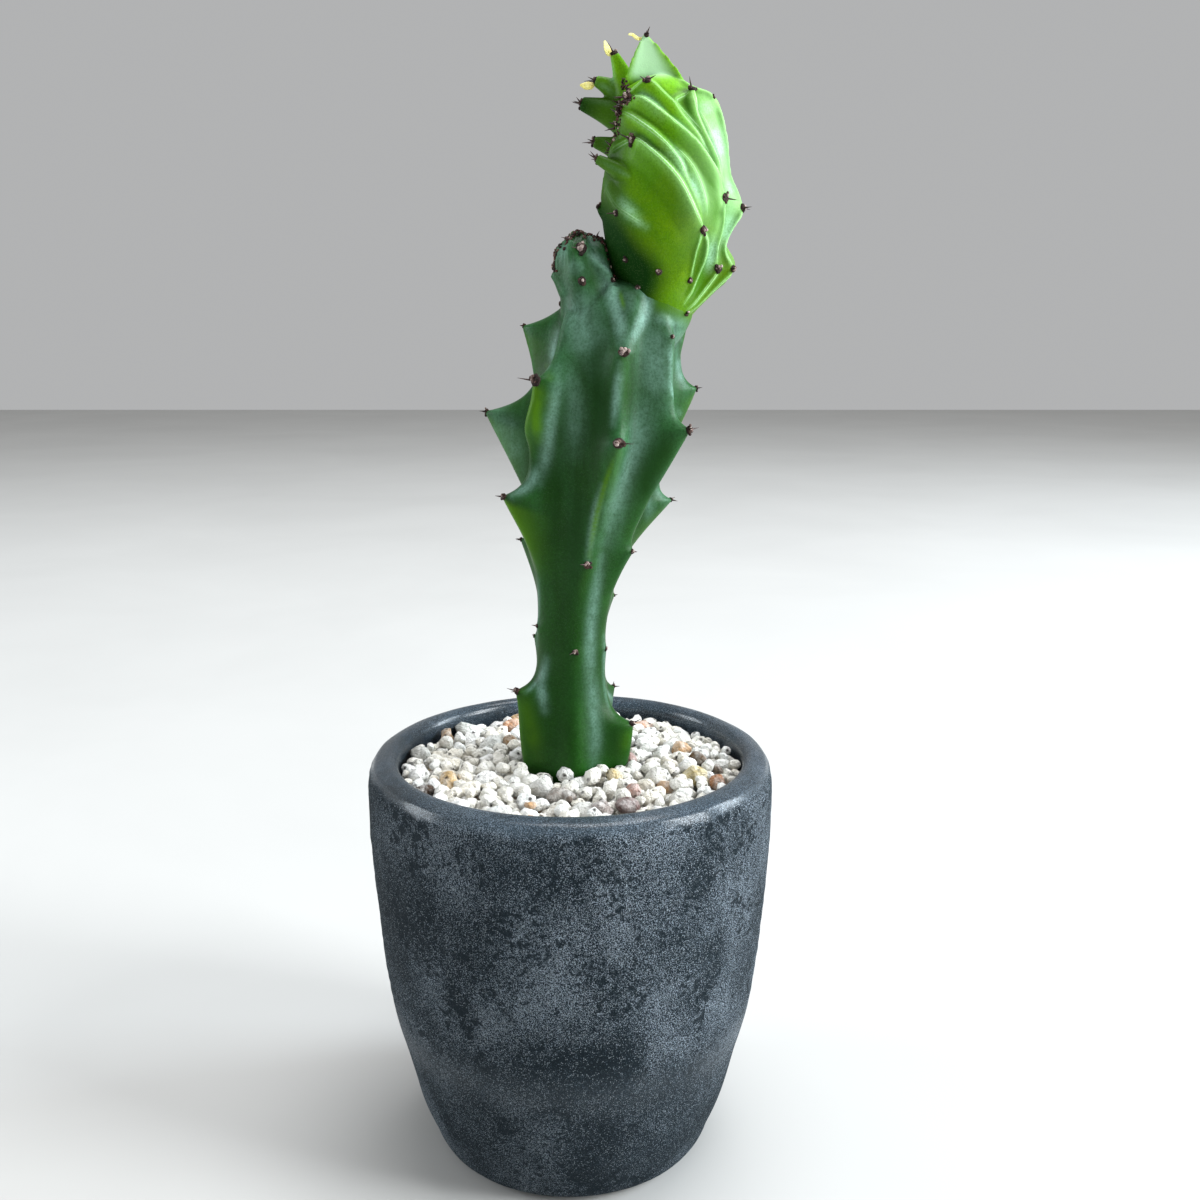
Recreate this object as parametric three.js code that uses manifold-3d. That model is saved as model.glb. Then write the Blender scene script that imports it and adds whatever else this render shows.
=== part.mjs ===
// Potted coral cactus: a crested euphorbia in a round cement pot, dressed with pumice grit.
// Millimetres, +Z up. The origin is the centre of the pot's foot, on the surface it stands on.
// +X is the side that the stem leans to, and -Y is the front.

import * as THREE from 'three';
import { mergeVertices } from 'three/addons/utils/BufferGeometryUtils.js';
import Module from 'manifold-3d';

const wasm = await Module();
wasm.setup();

// Driving dimensions
const CLEARANCE = 0.3;
const SIDE_CLEARANCE = 0.4;

const POT_HEIGHT = 124;
const POT_RADIUS = 60.5;
const FLOOR_TOP = 12;
const FOOT_RECESS = 2;
const DRAIN_RADIUS = 8;
const POT_SEGMENTS = 48;

const SCREEN_RADIUS = 15;
const SCREEN_THICKNESS = 1;
const SCREEN_PITCH = 6.4;
const SCREEN_MESH = 4.4;

const SOIL_TOP = 110;
const GRIT_TOP = 117.6;
const GRIT_MOUND = 1.4;
const GRAIN_SPACING = 7.2;
const GRAIN_JITTER = 0.5;
const GRAIN_HEIGHT = 2.6;

const STEM_BASE_X = 0.8;
const STEM_BOTTOM = 96;
const STEM_TOP = 257;
const FLARE_TOP = 119;
const BURIED_RADIUS = 10.6;
const BURIED_TIP_RADIUS = 7;
const RIB_WIDTH = 4.2;
const STEM_DEPTH_RATIO = 0.9;
const ROW_STEP = 3.2;

const SPINE_RADIUS = 0.42;
const SPINE_LENGTH = 4.2;
const PAD_RADIUS = 1.25;

// The neck is the oval where the dark stem ends and the lime crest starts.
const NECK = {
  centre: new THREE.Vector3(24.6, 0, 255),
  tilt: THREE.MathUtils.degToRad(19),
  halfWidth: 11,
  halfDepth: 9.6,
};

const COLOURS = {
  pot: 0x3b4149,
  screen: 0x1e1f20,
  soil: 0x3a2c22,
  grit: 0xd9d2c4,
  stem: 0x24502f,
  crest: 0x8fc13c,
};

// Seeded random numbers between 0 and 1
function seededRandom(seed) {
  let state = seed;
  return () => {
    state = (state + 0x6d2b79f5) | 0;
    let mixed = Math.imul(state ^ (state >>> 15), 1 | state);
    mixed = (mixed + Math.imul(mixed ^ (mixed >>> 7), 61 | mixed)) ^ mixed;
    return ((mixed ^ (mixed >>> 14)) >>> 0) / 4294967296;
  };
}

// Value at a key on a smooth curve through the listed [key, value] pairs
function lookUp(pairs, key) {
  const last = pairs.length - 1;
  if (key <= pairs[0][0]) return pairs[0][1];
  if (key >= pairs[last][0]) return pairs[last][1];
  const upper = pairs.findIndex((pair) => pair[0] > key);
  const slopeAt = (i) => {
    const [before, after] = [pairs[Math.max(0, i - 1)], pairs[Math.min(last, i + 1)]];
    return (after[1] - before[1]) / (after[0] - before[0]);
  };
  const [[k0, v0], [k1, v1]] = [pairs[upper - 1], pairs[upper]];
  const span = k1 - k0;
  const t = (key - k0) / span;
  const eased = t * t * (3 - 2 * t);
  const start = span * slopeAt(upper - 1) * t * (1 - t) ** 2;
  const end = span * slopeAt(upper) * t * t * (1 - t);
  return v0 + (v1 - v0) * eased + start - end;
}

// A closed geometry as a solid for joining and cutting, with its faces turned outward
function solidOf(geometry) {
  const bare = geometry.clone();
  bare.deleteAttribute('normal');
  bare.deleteAttribute('uv');
  const merged = mergeVertices(bare, 1e-4);
  const vertProperties = new Float32Array(merged.attributes.position.array);
  const index = Array.from(merged.index.array);
  const corner = (i) => new THREE.Vector3().fromArray(vertProperties, 3 * i);
  let volume = 0;
  for (let i = 0; i < index.length; i += 3) {
    const [a, b, c] = [corner(index[i]), corner(index[i + 1]), corner(index[i + 2])];
    volume += a.dot(b.cross(c));
  }
  if (volume < 0) index.reverse();
  const triVerts = new Uint32Array(index.length);
  let used = 0;
  for (let i = 0; i < index.length; i += 3) {
    const [a, b, c] = [index[i], index[i + 1], index[i + 2]];
    if (a === b || b === c || c === a) continue;
    triVerts.set([a, b, c], used);
    used += 3;
  }
  const mesh = new wasm.Mesh({ numProp: 3, vertProperties, triVerts: triVerts.slice(0, used) });
  return new wasm.Manifold(mesh);
}

function geometryOf(solid) {
  const mesh = solid.getMesh();
  const geometry = new THREE.BufferGeometry();
  const positions = new Float32Array(mesh.vertProperties);
  geometry.setAttribute('position', new THREE.BufferAttribute(positions, 3));
  geometry.setIndex(new THREE.BufferAttribute(new Uint32Array(mesh.triVerts), 1));
  return geometry;
}

// Joins solids two by two, so that each join stays small
function joined(solids) {
  let round = solids;
  while (round.length > 1) {
    const next = [];
    for (let i = 0; i < round.length; i += 2) {
      next.push(i + 1 < round.length ? round[i].add(round[i + 1]) : round[i]);
    }
    round = next;
  }
  return round[0];
}

// A solid keeps its largest body only, so that no loose scrap is left
function largestBody(solid) {
  const bodies = solid.decompose();
  return bodies.reduce((best, body) => (body.volume() > best.volume() ? body : best));
}

// Skins a closed ring of columns over rows, with a pole at each end
function skinned(rowCount, columnCount, pointAt, bottomPole, topPole) {
  const positions = [];
  const indices = [];
  for (let row = 0; row < rowCount; row += 1) {
    for (let column = 0; column < columnCount; column += 1) positions.push(...pointAt(row, column).toArray());
  }
  const bottom = positions.length / 3;
  positions.push(...bottomPole.toArray(), ...topPole.toArray());
  const top = bottom + 1;
  const vertex = (row, column) => row * columnCount + (column % columnCount);
  for (let column = 0; column < columnCount; column += 1) {
    for (let row = 0; row + 1 < rowCount; row += 1) {
      const [a, b] = [vertex(row, column), vertex(row, column + 1)];
      const [c, d] = [vertex(row + 1, column + 1), vertex(row + 1, column)];
      indices.push(a, b, c, a, c, d);
    }
    indices.push(bottom, vertex(0, column + 1), vertex(0, column));
    indices.push(top, vertex(rowCount - 1, column), vertex(rowCount - 1, column + 1));
  }
  const geometry = new THREE.BufferGeometry();
  geometry.setAttribute('position', new THREE.Float32BufferAttribute(positions, 3));
  geometry.setIndex(indices);
  return geometry;
}

// Closes an open sheet with a flat bottom at a height and a wall along its free edge
function closedBelow(sheet, bottom) {
  const merged = mergeVertices(sheet, 1e-4);
  const spot = merged.attributes.position;
  const top = Array.from(merged.index.array);
  const positions = Array.from(spot.array);
  for (let i = 0; i < spot.count; i += 1) positions.push(spot.getX(i), spot.getY(i), bottom);
  const below = (i) => i + spot.count;
  const indices = [...top];
  const free = new Map();
  for (let i = 0; i < top.length; i += 3) {
    const corners = top.slice(i, i + 3);
    indices.push(...corners.map(below).reverse());
    corners.forEach((a, k) => {
      const b = corners[(k + 1) % 3];
      if (!free.delete(`${b} ${a}`)) free.set(`${a} ${b}`, [a, b]);
    });
  }
  for (const [a, b] of free.values()) indices.push(b, a, below(a), b, below(a), below(b));
  const geometry = new THREE.BufferGeometry();
  geometry.setAttribute('position', new THREE.Float32BufferAttribute(positions, 3));
  geometry.setIndex(indices);
  return geometry;
}

// Turns a profile of [radius, height] points about +Z
function turned(profile, segments) {
  const points = profile.map(([radius, height]) => new THREE.Vector2(radius, height));
  return new THREE.LatheGeometry(points, segments).rotateX(Math.PI / 2);
}

// Pot

const POT_OUTSIDE = [
  [33.5, 0], [38, 0.8], [42.3, 3.2], [44.6, 8], [47.9, 16], [51.6, 30], [56.3, 50], [58.8, 75],
  [POT_RADIUS, 100], [60, 115], [58.6, 121.4], [56.6, POT_HEIGHT], [54.4, 123.4],
];

const POT_INSIDE = [[53, 120.5], [53.2, 100], [51.6, 75], [49.2, 50], [44.4, 30], [34, FLOOR_TOP]];

function pot() {
  const foot = [[DRAIN_RADIUS, FOOT_RECESS], [24.5, FOOT_RECESS], [26.5, 0]];
  const drain = [[DRAIN_RADIUS, FLOOR_TOP], [DRAIN_RADIUS, FOOT_RECESS]];
  const profile = [...foot, ...POT_OUTSIDE, ...POT_INSIDE, ...drain];
  return solidOf(turned(profile, POT_SEGMENTS));
}

function innerRadius(height) {
  const wall = [...POT_INSIDE].reverse();
  const upper = wall.findIndex((point) => point[1] >= height);
  const [[r0, z0], [r1, z1]] = [wall[upper - 1], wall[upper]];
  return r0 + ((r1 - r0) * (height - z0)) / (z1 - z0);
}

// Net disc over the drain hole

function drainScreen() {
  const bottom = FLOOR_TOP + CLEARANCE;
  const top = bottom + SCREEN_THICKNESS;
  const disc = turned([[0, bottom], [SCREEN_RADIUS, bottom], [SCREEN_RADIUS, top], [0, top]], 20);
  let screen = solidOf(disc);
  for (let i = -1; i <= 1; i += 1) {
    for (let j = -1; j <= 1; j += 1) {
      const [x, y] = [i * SCREEN_PITCH, j * SCREEN_PITCH];
      const opening = new THREE.BoxGeometry(SCREEN_MESH, SCREEN_MESH, 4 * SCREEN_THICKNESS);
      screen = screen.subtract(solidOf(opening.translate(x, y, bottom)));
    }
  }
  return screen;
}

// Stem

// The stem's centre line, and how far its valleys and its ridges stand from it, all by height
const STEM_AXIS = [
  [STEM_BOTTOM, STEM_BASE_X], [120, STEM_BASE_X], [154, 0.4], [180, 2.6],
  [200, 6], [225, 10], [245, 13.6], [STEM_TOP, 15.5],
];
const CORE_RADIUS = [
  [STEM_BOTTOM, BURIED_TIP_RADIUS], [104, BURIED_RADIUS], [114, BURIED_RADIUS], [120, 11.3], [140, 9.4],
  [155, 8.9], [170, 9.4], [187, 11], [200, 13], [215, 14.6], [230, 15.2], [244, 14.6], [252, 12.6],
  [STEM_TOP, 8],
];
const RIDGE_RADIUS = [
  [STEM_BOTTOM, BURIED_TIP_RADIUS], [104, BURIED_RADIUS], [114, BURIED_RADIUS], [118.5, 14.6], [127, 14.2],
  [140, 11.2], [152, 10], [163, 10.2], [175, 11.8], [187, 14.5], [200, 18.5], [211, 20.6], [225, 21.6],
  [240, 19.4], [250, 17], [STEM_TOP, 9],
];

// Each rib climbs the stem: its turn in degrees by height, and its teeth as
// [height of the tip, reach past the ridge, fall above the tip, length of the slope below it].
// A rib with a share stands out that much less than the common ridge.
const RIBS = [
  {
    turn: [[118, -88], [182, -80], [217, -71], [245, -78]],
    share: 0.62,
    teeth: [[156, 0.8, 2, 8], [182, 1.4, 2, 12], [216.7, 3.4, 2.8, 20], [240.8, 2, 2.4, 14]],
  },
  {
    turn: [[118, -12], [133, -14], [185, -25], [245, -35]],
    teeth: [
      [132.8, 5.6, 2, 24], [155.5, 0.9, 2, 8], [184.9, 2.6, 2, 13], [219.9, 6.6, 2.6, 21],
      [244.8, 2.4, 2.4, 12],
    ],
  },
  {
    turn: [[118, 40], [150, 30], [198, 15], [251, 17]],
    teeth: [
      [141, 4, 2.2, 12], [170, 1.4, 2, 10], [198.3, 7.2, 2.4, 20], [230.5, 5.6, 2.4, 19], [250.9, 3, 2, 12],
    ],
  },
  {
    turn: [[118, 100], [180, 92], [250, 88]],
    teeth: [
      [136, 4.6, 2.2, 12], [162, 1.2, 2, 9], [190, 4, 2.4, 18], [211, 7.4, 2.6, 20], [236, 5.4, 2.4, 19],
    ],
  },
  {
    turn: [[118, 160], [150, 176], [224, 170], [250, 165]],
    teeth: [[158.3, 1.4, 2, 9], [187.1, 3.6, 2.2, 16], [223.9, 13.2, 2.8, 25], [247.9, 10.2, 2.6, 18]],
  },
  {
    turn: [[118, 200], [143, 197], [201, 205], [233, 218], [250, 226]],
    teeth: [[142.9, 5, 2.2, 14], [162.3, 0.9, 2, 8], [201.2, 7.8, 2.6, 23], [233.2, 5.2, 2.8, 19]],
  },
];

// Teeth fade out where the stem enters the grit.
const TOOTH_FADE = [[114, 0], [120, 1]];

const GAP_STOPS = [0, 0.14, 0.38, 0.62, 0.86];
const STEM_COLUMNS = RIBS.length * GAP_STOPS.length;
const BURIED_ROWS = [STEM_BOTTOM, 104, 113, 116];

function ribReach(rib, height) {
  let reach = 0;
  for (const [tip, size, above, below] of rib.teeth) {
    const slope = Math.max(0, 1 - (tip - height) / below) ** 1.25;
    const rise = height > tip ? Math.exp((tip - height) / above) : slope;
    reach = Math.max(reach, size * rise);
  }
  const ridge = lookUp(RIDGE_RADIUS, height) - lookUp(CORE_RADIUS, height);
  return (rib.share ?? 1) * ridge + reach * lookUp(TOOTH_FADE, height);
}

function ribTurn(index, height) {
  const rib = RIBS[index % RIBS.length];
  const turns = Math.floor(index / RIBS.length);
  return THREE.MathUtils.degToRad(lookUp(rib.turn, height) + 360 * turns);
}

function stemRadius(angle, height) {
  const core = lookUp(CORE_RADIUS, height);
  let sum = 0;
  for (let index = 0; index < RIBS.length; index += 1) {
    const away = angle - ribTurn(index, height);
    const across = core * Math.abs(Math.atan2(Math.sin(away), Math.cos(away)));
    const spread = (1 + (across / RIB_WIDTH) ** 2) ** 1.4;
    const fin = Math.max(0, ribReach(RIBS[index], height)) / spread;
    sum += fin ** 3;
  }
  return core + Math.cbrt(sum);
}

function stemPoint(angle, height, extra = 0) {
  const radius = stemRadius(angle, height) + extra;
  const x = lookUp(STEM_AXIS, height) + radius * Math.cos(angle);
  return new THREE.Vector3(x, STEM_DEPTH_RATIO * radius * Math.sin(angle), height);
}

// A row is pulled up or down to meet a tooth's tip, so that no tip is cut off between rows.
function snapped(rib, height) {
  const near = rib.teeth.find(([tip]) => Math.abs(tip - height) <= ROW_STEP / 2);
  return near ? near[0] - height : 0;
}

function column(columnIndex, height) {
  const index = Math.floor(columnIndex / GAP_STOPS.length);
  const stop = GAP_STOPS[columnIndex % GAP_STOPS.length];
  const angle = THREE.MathUtils.lerp(ribTurn(index, height), ribTurn(index + 1, height), stop);
  const here = snapped(RIBS[index], height);
  const next = snapped(RIBS[(index + 1) % RIBS.length], height);
  return { angle, height: height + here * (1 - stop) ** 2 + next * stop ** 2 };
}

function stemRows() {
  const count = Math.round((STEM_TOP - FLARE_TOP) / ROW_STEP);
  const rows = [...BURIED_ROWS];
  for (let row = 0; row <= count; row += 1) rows.push(FLARE_TOP + ((STEM_TOP - FLARE_TOP) * row) / count);
  return rows;
}

function stemColumn() {
  const rows = stemRows();
  const pointAt = (row, columnIndex) => {
    const place = column(columnIndex, rows[row]);
    return stemPoint(place.angle, place.height);
  };
  const bottomPole = new THREE.Vector3(STEM_BASE_X, 0, STEM_BOTTOM - 3);
  const topPole = new THREE.Vector3(lookUp(STEM_AXIS, STEM_TOP), 0, STEM_TOP + 3);
  return solidOf(skinned(rows.length, STEM_COLUMNS, pointAt, bottomPole, topPole));
}

// The hole that the stem's buried end stands in, straight above the height where its ribs are widest
function stemHole() {
  const rows = [STEM_BOTTOM - CLEARANCE, ...BURIED_ROWS.slice(1), FLARE_TOP, POT_HEIGHT];
  const pointAt = (row, columnIndex) => {
    const height = rows[row];
    const place = column(columnIndex, Math.min(height, FLARE_TOP));
    return stemPoint(place.angle, place.height, SIDE_CLEARANCE).setZ(height);
  };
  const bottomPole = new THREE.Vector3(STEM_BASE_X, 0, STEM_BOTTOM - 4);
  const topPole = new THREE.Vector3(STEM_BASE_X, 0, POT_HEIGHT + 1);
  return solidOf(skinned(rows.length, STEM_COLUMNS, pointAt, bottomPole, topPole));
}

function needle(root, direction, length, radius, sides = 3) {
  const cone = new THREE.ConeGeometry(radius, length, sides).translate(0, length / 2, 0);
  const turn = new THREE.Quaternion().setFromUnitVectors(new THREE.Vector3(0, 1, 0), direction);
  return cone.applyQuaternion(turn).translate(root.x, root.y, root.z);
}

// Small spiny pad: a low knob with a spine for each listed hand, so that a pair opens in a V
function areole(point, outward, random, size = 1, hands = [-1, 1]) {
  const up = new THREE.Vector3(0, 0, 1);
  const side = new THREE.Vector3().crossVectors(outward, up).normalize();
  const root = point.clone().addScaledVector(outward, -1.1);
  const knob = new THREE.OctahedronGeometry(PAD_RADIUS * size).rotateX(random()).rotateZ(random());
  const pieces = [solidOf(knob.translate(point.x, point.y, point.z))];
  for (const hand of hands) {
    const direction = outward.clone().addScaledVector(side, hand * (0.45 + 0.15 * random()));
    direction.addScaledVector(up, 0.35 * (random() - 0.5)).normalize();
    const length = 1.1 + SPINE_LENGTH * size * (0.75 + 0.4 * random());
    pieces.push(solidOf(needle(root, direction, length, SPINE_RADIUS)));
  }
  return pieces;
}

function stemAreoles(random) {
  const pieces = [];
  RIBS.forEach((rib, index) => {
    for (const [tip, reach] of rib.teeth) {
      const angle = ribTurn(index, tip);
      const point = stemPoint(angle, tip, -0.2);
      const outward = new THREE.Vector3(Math.cos(angle), Math.sin(angle), 0.1).normalize();
      const large = reach > 2;
      pieces.push(...areole(point, outward, random, large ? 1 : 0.75, large ? [-1, 1] : [0.3]));
    }
  });
  return pieces;
}

// Old crest: a short flat fan with a knobbly dried margin
const STUB_CENTRE_X = 4;
const STUB_MARGIN = [
  [-3.2, 262], [-3.1, 268.4], [0.2, 271.6], [4.2, 272.4], [8, 270.8], [10.2, 266.4], [10.6, 262],
];
// Height, half width and half depth of the stub's levels, from inside the stem to its top
const STUB_LEVELS = [
  [240, 7.5, 9.5], [249, 8.2, 9.5], [256, 7.2, 8], [261, 8, 6.8], [266, 8.3, 5.6], [269.6, 6.9, 4],
  [271.4, 4.2, 2.2],
];

function stub(random) {
  const columns = 16;
  const pointAt = (row, columnIndex) => {
    const [height, halfWidth, halfDepth] = STUB_LEVELS[row];
    const angle = (2 * Math.PI * columnIndex) / columns;
    const rib = 1 + (columnIndex % 2 ? -0.06 : 0.06);
    const x = STUB_CENTRE_X + halfWidth * rib * Math.cos(angle) + 0.35 * Math.max(0, 256 - height);
    return new THREE.Vector3(x, halfDepth * rib * Math.sin(angle), height);
  };
  const bottomPole = new THREE.Vector3(STUB_CENTRE_X + 5, 0, 238);
  const topPole = new THREE.Vector3(STUB_CENTRE_X, 0, 272);
  const pieces = [solidOf(skinned(STUB_LEVELS.length, columns, pointAt, bottomPole, topPole))];
  const margin = new THREE.CatmullRomCurve3(STUB_MARGIN.map(([x, z]) => new THREE.Vector3(x, 0, z)));
  const knobs = 12;
  for (let i = 0; i <= knobs; i += 1) {
    const point = margin.getPointAt(i / knobs);
    const outward = new THREE.Vector3(point.x - STUB_CENTRE_X, 3 * (random() - 0.5), point.z - 264);
    const seat = point.clone().addScaledVector(outward.normalize(), -0.5);
    const size = 0.6 + 0.4 * random();
    pieces.push(...areole(seat, outward, random, size, i % 2 || outward.x > 0.4 ? [] : [0.5]));
  }
  return pieces;
}

// The neck's oval outline, as a point at a turn round it
const NECK_ACROSS = new THREE.Vector3(Math.cos(NECK.tilt), 0, -Math.sin(NECK.tilt));
const NECK_NORMAL = new THREE.Vector3(Math.sin(NECK.tilt), 0, Math.cos(NECK.tilt));
const BACKWARD = new THREE.Vector3(0, 1, 0);

function neckPoint(degrees, along = 0, size = 1) {
  const angle = THREE.MathUtils.degToRad(degrees);
  return NECK.centre.clone()
    .addScaledVector(NECK_ACROSS, size * NECK.halfWidth * Math.cos(angle))
    .addScaledVector(BACKWARD, size * NECK.halfDepth * Math.sin(angle))
    .addScaledVector(NECK_NORMAL, along);
}

function neckBranch() {
  const columns = 20;
  const levels = [[-26, 0.95, -9], [-15, 1.1, -5], [-7, 1.1, -1.5], [-CLEARANCE, 1, 0]];
  const pointAt = (row, columnIndex) => {
    const [along, size, shift] = levels[row];
    return neckPoint((360 * columnIndex) / columns, along, size).addScaledVector(NECK_ACROSS, shift);
  };
  const bottomPole = NECK.centre.clone().addScaledVector(NECK_NORMAL, -28).addScaledVector(NECK_ACROSS, -9);
  const topPole = NECK.centre.clone().addScaledVector(NECK_NORMAL, -CLEARANCE);
  return solidOf(skinned(levels.length, columns, pointAt, bottomPole, topPole));
}

function aboveNeck() {
  const size = 60;
  const block = new THREE.BoxGeometry(size, size, size).translate(0, 0, size / 2 - CLEARANCE);
  block.rotateY(NECK.tilt);
  return solidOf(block.translate(NECK.centre.x, NECK.centre.y, NECK.centre.z));
}

// Crest

// Ribs of the crest, in order round it. Each one starts on the growing line at the left, bulges
// outward through its points and ends on the neck's oval at its turn in degrees.
const CREST_RIBS = [
  {
    neck: -180,
    points: [
      [9.6, -0.5, 281], [11.4, 0, 275], [13.8, 0, 268], [15, 0, 262],
    ],
  },
  {
    neck: -128,
    points: [
      [9.3, -2, 285], [12.5, -7.5, 277.5], [16.5, -10.5, 269], [18, -10.5, 262],
    ],
  },
  {
    neck: -103,
    points: [
      [10.3, -3, 290.5], [15, -9, 286], [20.5, -13, 278.5], [24, -14, 270], [24, -12, 261],
    ],
  },
  {
    neck: -84,
    points: [
      [12, -4, 296], [18, -9, 296], [25, -13.5, 289.5], [32, -14.5, 280.5], [35, -12.5, 272],
      [31, -10.5, 262],
    ],
  },
  {
    neck: -62,
    points: [
      [13, -4.5, 301], [17, -8, 302.5], [23.5, -12, 297.5], [30.5, -13, 289], [36, -11.5, 280],
      [36.5, -9.5, 270], [34, -8, 261],
    ],
  },
  {
    neck: -42,
    points: [
      [14.3, -4.5, 306], [19, -8, 307], [26, -11, 301.5], [33, -11, 295.5], [38.5, -9.5, 287.5],
      [41.5, -8, 279.5], [39.5, -6.5, 268], [37, -5, 260],
    ],
  },
  {
    neck: -22,
    points: [
      [15.5, -3.5, 309.5], [21, -7.5, 310.8], [28, -9, 305], [35.5, -8.5, 296.5], [40.5, -6, 288],
      [43, -4.5, 279.5], [42, -3.5, 270], [42.5, -2.8, 262],
    ],
  },
  {
    neck: 0,
    points: [
      [18.5, -1.5, 312.5], [25, -3, 315], [33, -2.5, 310], [38.8, -1, 306.5], [42, 0, 299],
      [44, 0, 288], [48, 0, 279], [44, 0, 271], [46, 0, 263.5],
    ],
  },
  {
    neck: 26,
    points: [
      [19.5, 1.5, 312.5], [26.5, 5, 313.5], [35.5, 7.5, 306], [41, 8, 294], [42.5, 7.5, 280],
      [41, 6, 267],
    ],
  },
  {
    neck: 54,
    points: [
      [17, 3.5, 309.5], [22.5, 8.5, 310], [29, 12.5, 303.5], [35, 13, 293], [37.5, 12, 279],
      [36, 10, 266],
    ],
  },
  {
    neck: 84,
    points: [
      [14, 4.5, 305], [18, 10, 305], [24, 14, 298], [30, 15, 287], [31.5, 14, 274], [30, 11, 263],
    ],
  },
  {
    neck: 110,
    points: [
      [12, 4, 297], [15, 8.5, 295.5], [20, 13, 288], [24.5, 14, 277.5], [24.5, 12.5, 266],
    ],
  },
  {
    neck: 136,
    points: [
      [10, 2.8, 288], [12, 8, 279], [15.5, 11, 270], [18, 10.5, 262.5],
    ],
  },
];

const CREST_STOPS = [0, 0.16, 0.5, 0.84];
const CREST_ROWS = 15;
const VALLEY_DEPTH = 2.4;
const SMOOTH_GAPS = [0, 1, 2];
const SMOOTH_SHARE = 0.4;

const crestCurves = CREST_RIBS.map(({ neck, points }) => {
  const stations = points.map((point) => new THREE.Vector3(...point)).reverse();
  return new THREE.CatmullRomCurve3([neckPoint(neck), ...stations], false, 'centripetal');
});

function crestCentre(along) {
  const sum = new THREE.Vector3();
  for (const curve of crestCurves) sum.add(curve.getPointAt(along));
  return sum.divideScalar(crestCurves.length);
}

function crestBody() {
  const columns = crestCurves.length * CREST_STOPS.length;
  const rings = [];
  for (let row = 0; row < CREST_ROWS; row += 1) {
    const along = row / (CREST_ROWS - 1);
    const centre = crestCentre(along);
    const ribPoints = crestCurves.map((curve) => curve.getPointAt(along));
    const ring = [];
    ribPoints.forEach((here, index) => {
      const next = ribPoints[(index + 1) % ribPoints.length];
      for (const stop of CREST_STOPS) {
        const point = here.clone().lerp(next, stop);
        const share = SMOOTH_GAPS.includes(index) ? SMOOTH_SHARE : 1;
        const fade = Math.sin(Math.PI * along) ** 0.6;
        const depth = share * VALLEY_DEPTH * Math.sin(Math.PI * stop) * fade;
        const inward = centre.clone().sub(point);
        const reach = inward.length();
        ring.push(point.addScaledVector(inward.normalize(), Math.min(depth, 0.3 * reach)));
      }
    });
    rings.push(ring);
  }
  const pointAt = (row, columnIndex) => rings[row][columnIndex];
  const topPole = crestCentre(1);
  return solidOf(skinned(CREST_ROWS, columns, pointAt, NECK.centre.clone(), topPole));
}

// Finger tubercles: root, tip and root radius. The first one is the tall leaf-like top, flat in depth.
const FINGERS = [
  { root: [25, 0, 301], tip: [21, 0, 324], radius: 11.5, flatness: 0.55 },
  { root: [20, 3, 308], tip: [12.4, 2.5, 319.5], radius: 3.4 },
  { root: [18, 4, 306], tip: [8, 3.5, 313], radius: 3.2 },
  { root: [17, 3.5, 303], tip: [3.6, 3.5, 307], radius: 3.2 },
  { root: [16, 2, 296], tip: [6.8, 2.5, 296.5], radius: 2.8 },
  { root: [16, 0, 288], tip: [8, -3, 291.2], radius: 3 },
  { root: [28, -4, 300], tip: [33, -4, 309.6], radius: 4.6 },
];

function finger({ root, tip, radius, flatness = 1 }) {
  const start = new THREE.Vector3(...root);
  const span = new THREE.Vector3(...tip).sub(start);
  const length = span.length();
  return solidOf(needle(start, span.normalize(), length, radius, 6).scale(1, flatness, 1));
}

// Spiny pads on the crest, as [rib, share of the way up from the neck]
const CREST_AREOLES = [
  [1, 0.25], [1, 0.62], [2, 0.2], [3, 0.42], [3, 0.97], [4, 0.5], [5, 0.36], [5, 0.9], [6, 0.14], [6, 0.97],
  [7, 0.13], [7, 0.36], [8, 0.3], [8, 0.8], [9, 0.5], [10, 0.25], [10, 0.75], [11, 0.55], [12, 0.4],
  [12, 0.85],
];

function crestAreoles(random) {
  const pieces = [];
  for (const [index, along] of CREST_AREOLES) {
    const point = crestCurves[index].getPointAt(along);
    const outward = point.clone().sub(crestCentre(along)).normalize();
    pieces.push(...areole(point, outward, random, 0.9, [0.4 - random()]));
  }
  for (const { root, tip } of FINGERS) {
    const point = new THREE.Vector3(...tip);
    const outward = point.clone().sub(new THREE.Vector3(...root)).normalize();
    point.addScaledVector(outward, -0.9);
    pieces.push(...areole(point, outward, random, 0.75));
  }
  return pieces;
}

// Dried leaf tips, small thin blades that curl away to the left
const LEAF_TIPS = [
  { root: [20.2, 0, 322.4], tip: [15.6, -0.6, 324.8] },
  { root: [12.6, 2.5, 317.6], tip: [9.4, 2.2, 321.6] },
  { root: [8.6, 3.5, 311.4], tip: [4.4, 3, 313.4] },
];

function leafTip({ root, tip }) {
  const start = new THREE.Vector3(...root);
  const end = new THREE.Vector3(...tip);
  const middle = start.clone().lerp(end, 0.55);
  const blade = new THREE.OctahedronGeometry(1).scale(start.distanceTo(end) / 2, 0.4, 1.1);
  blade.rotateY(-Math.atan2(end.z - start.z, end.x - start.x));
  return solidOf(blade.translate(middle.x, middle.y, middle.z));
}

// Soil and grit

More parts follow.
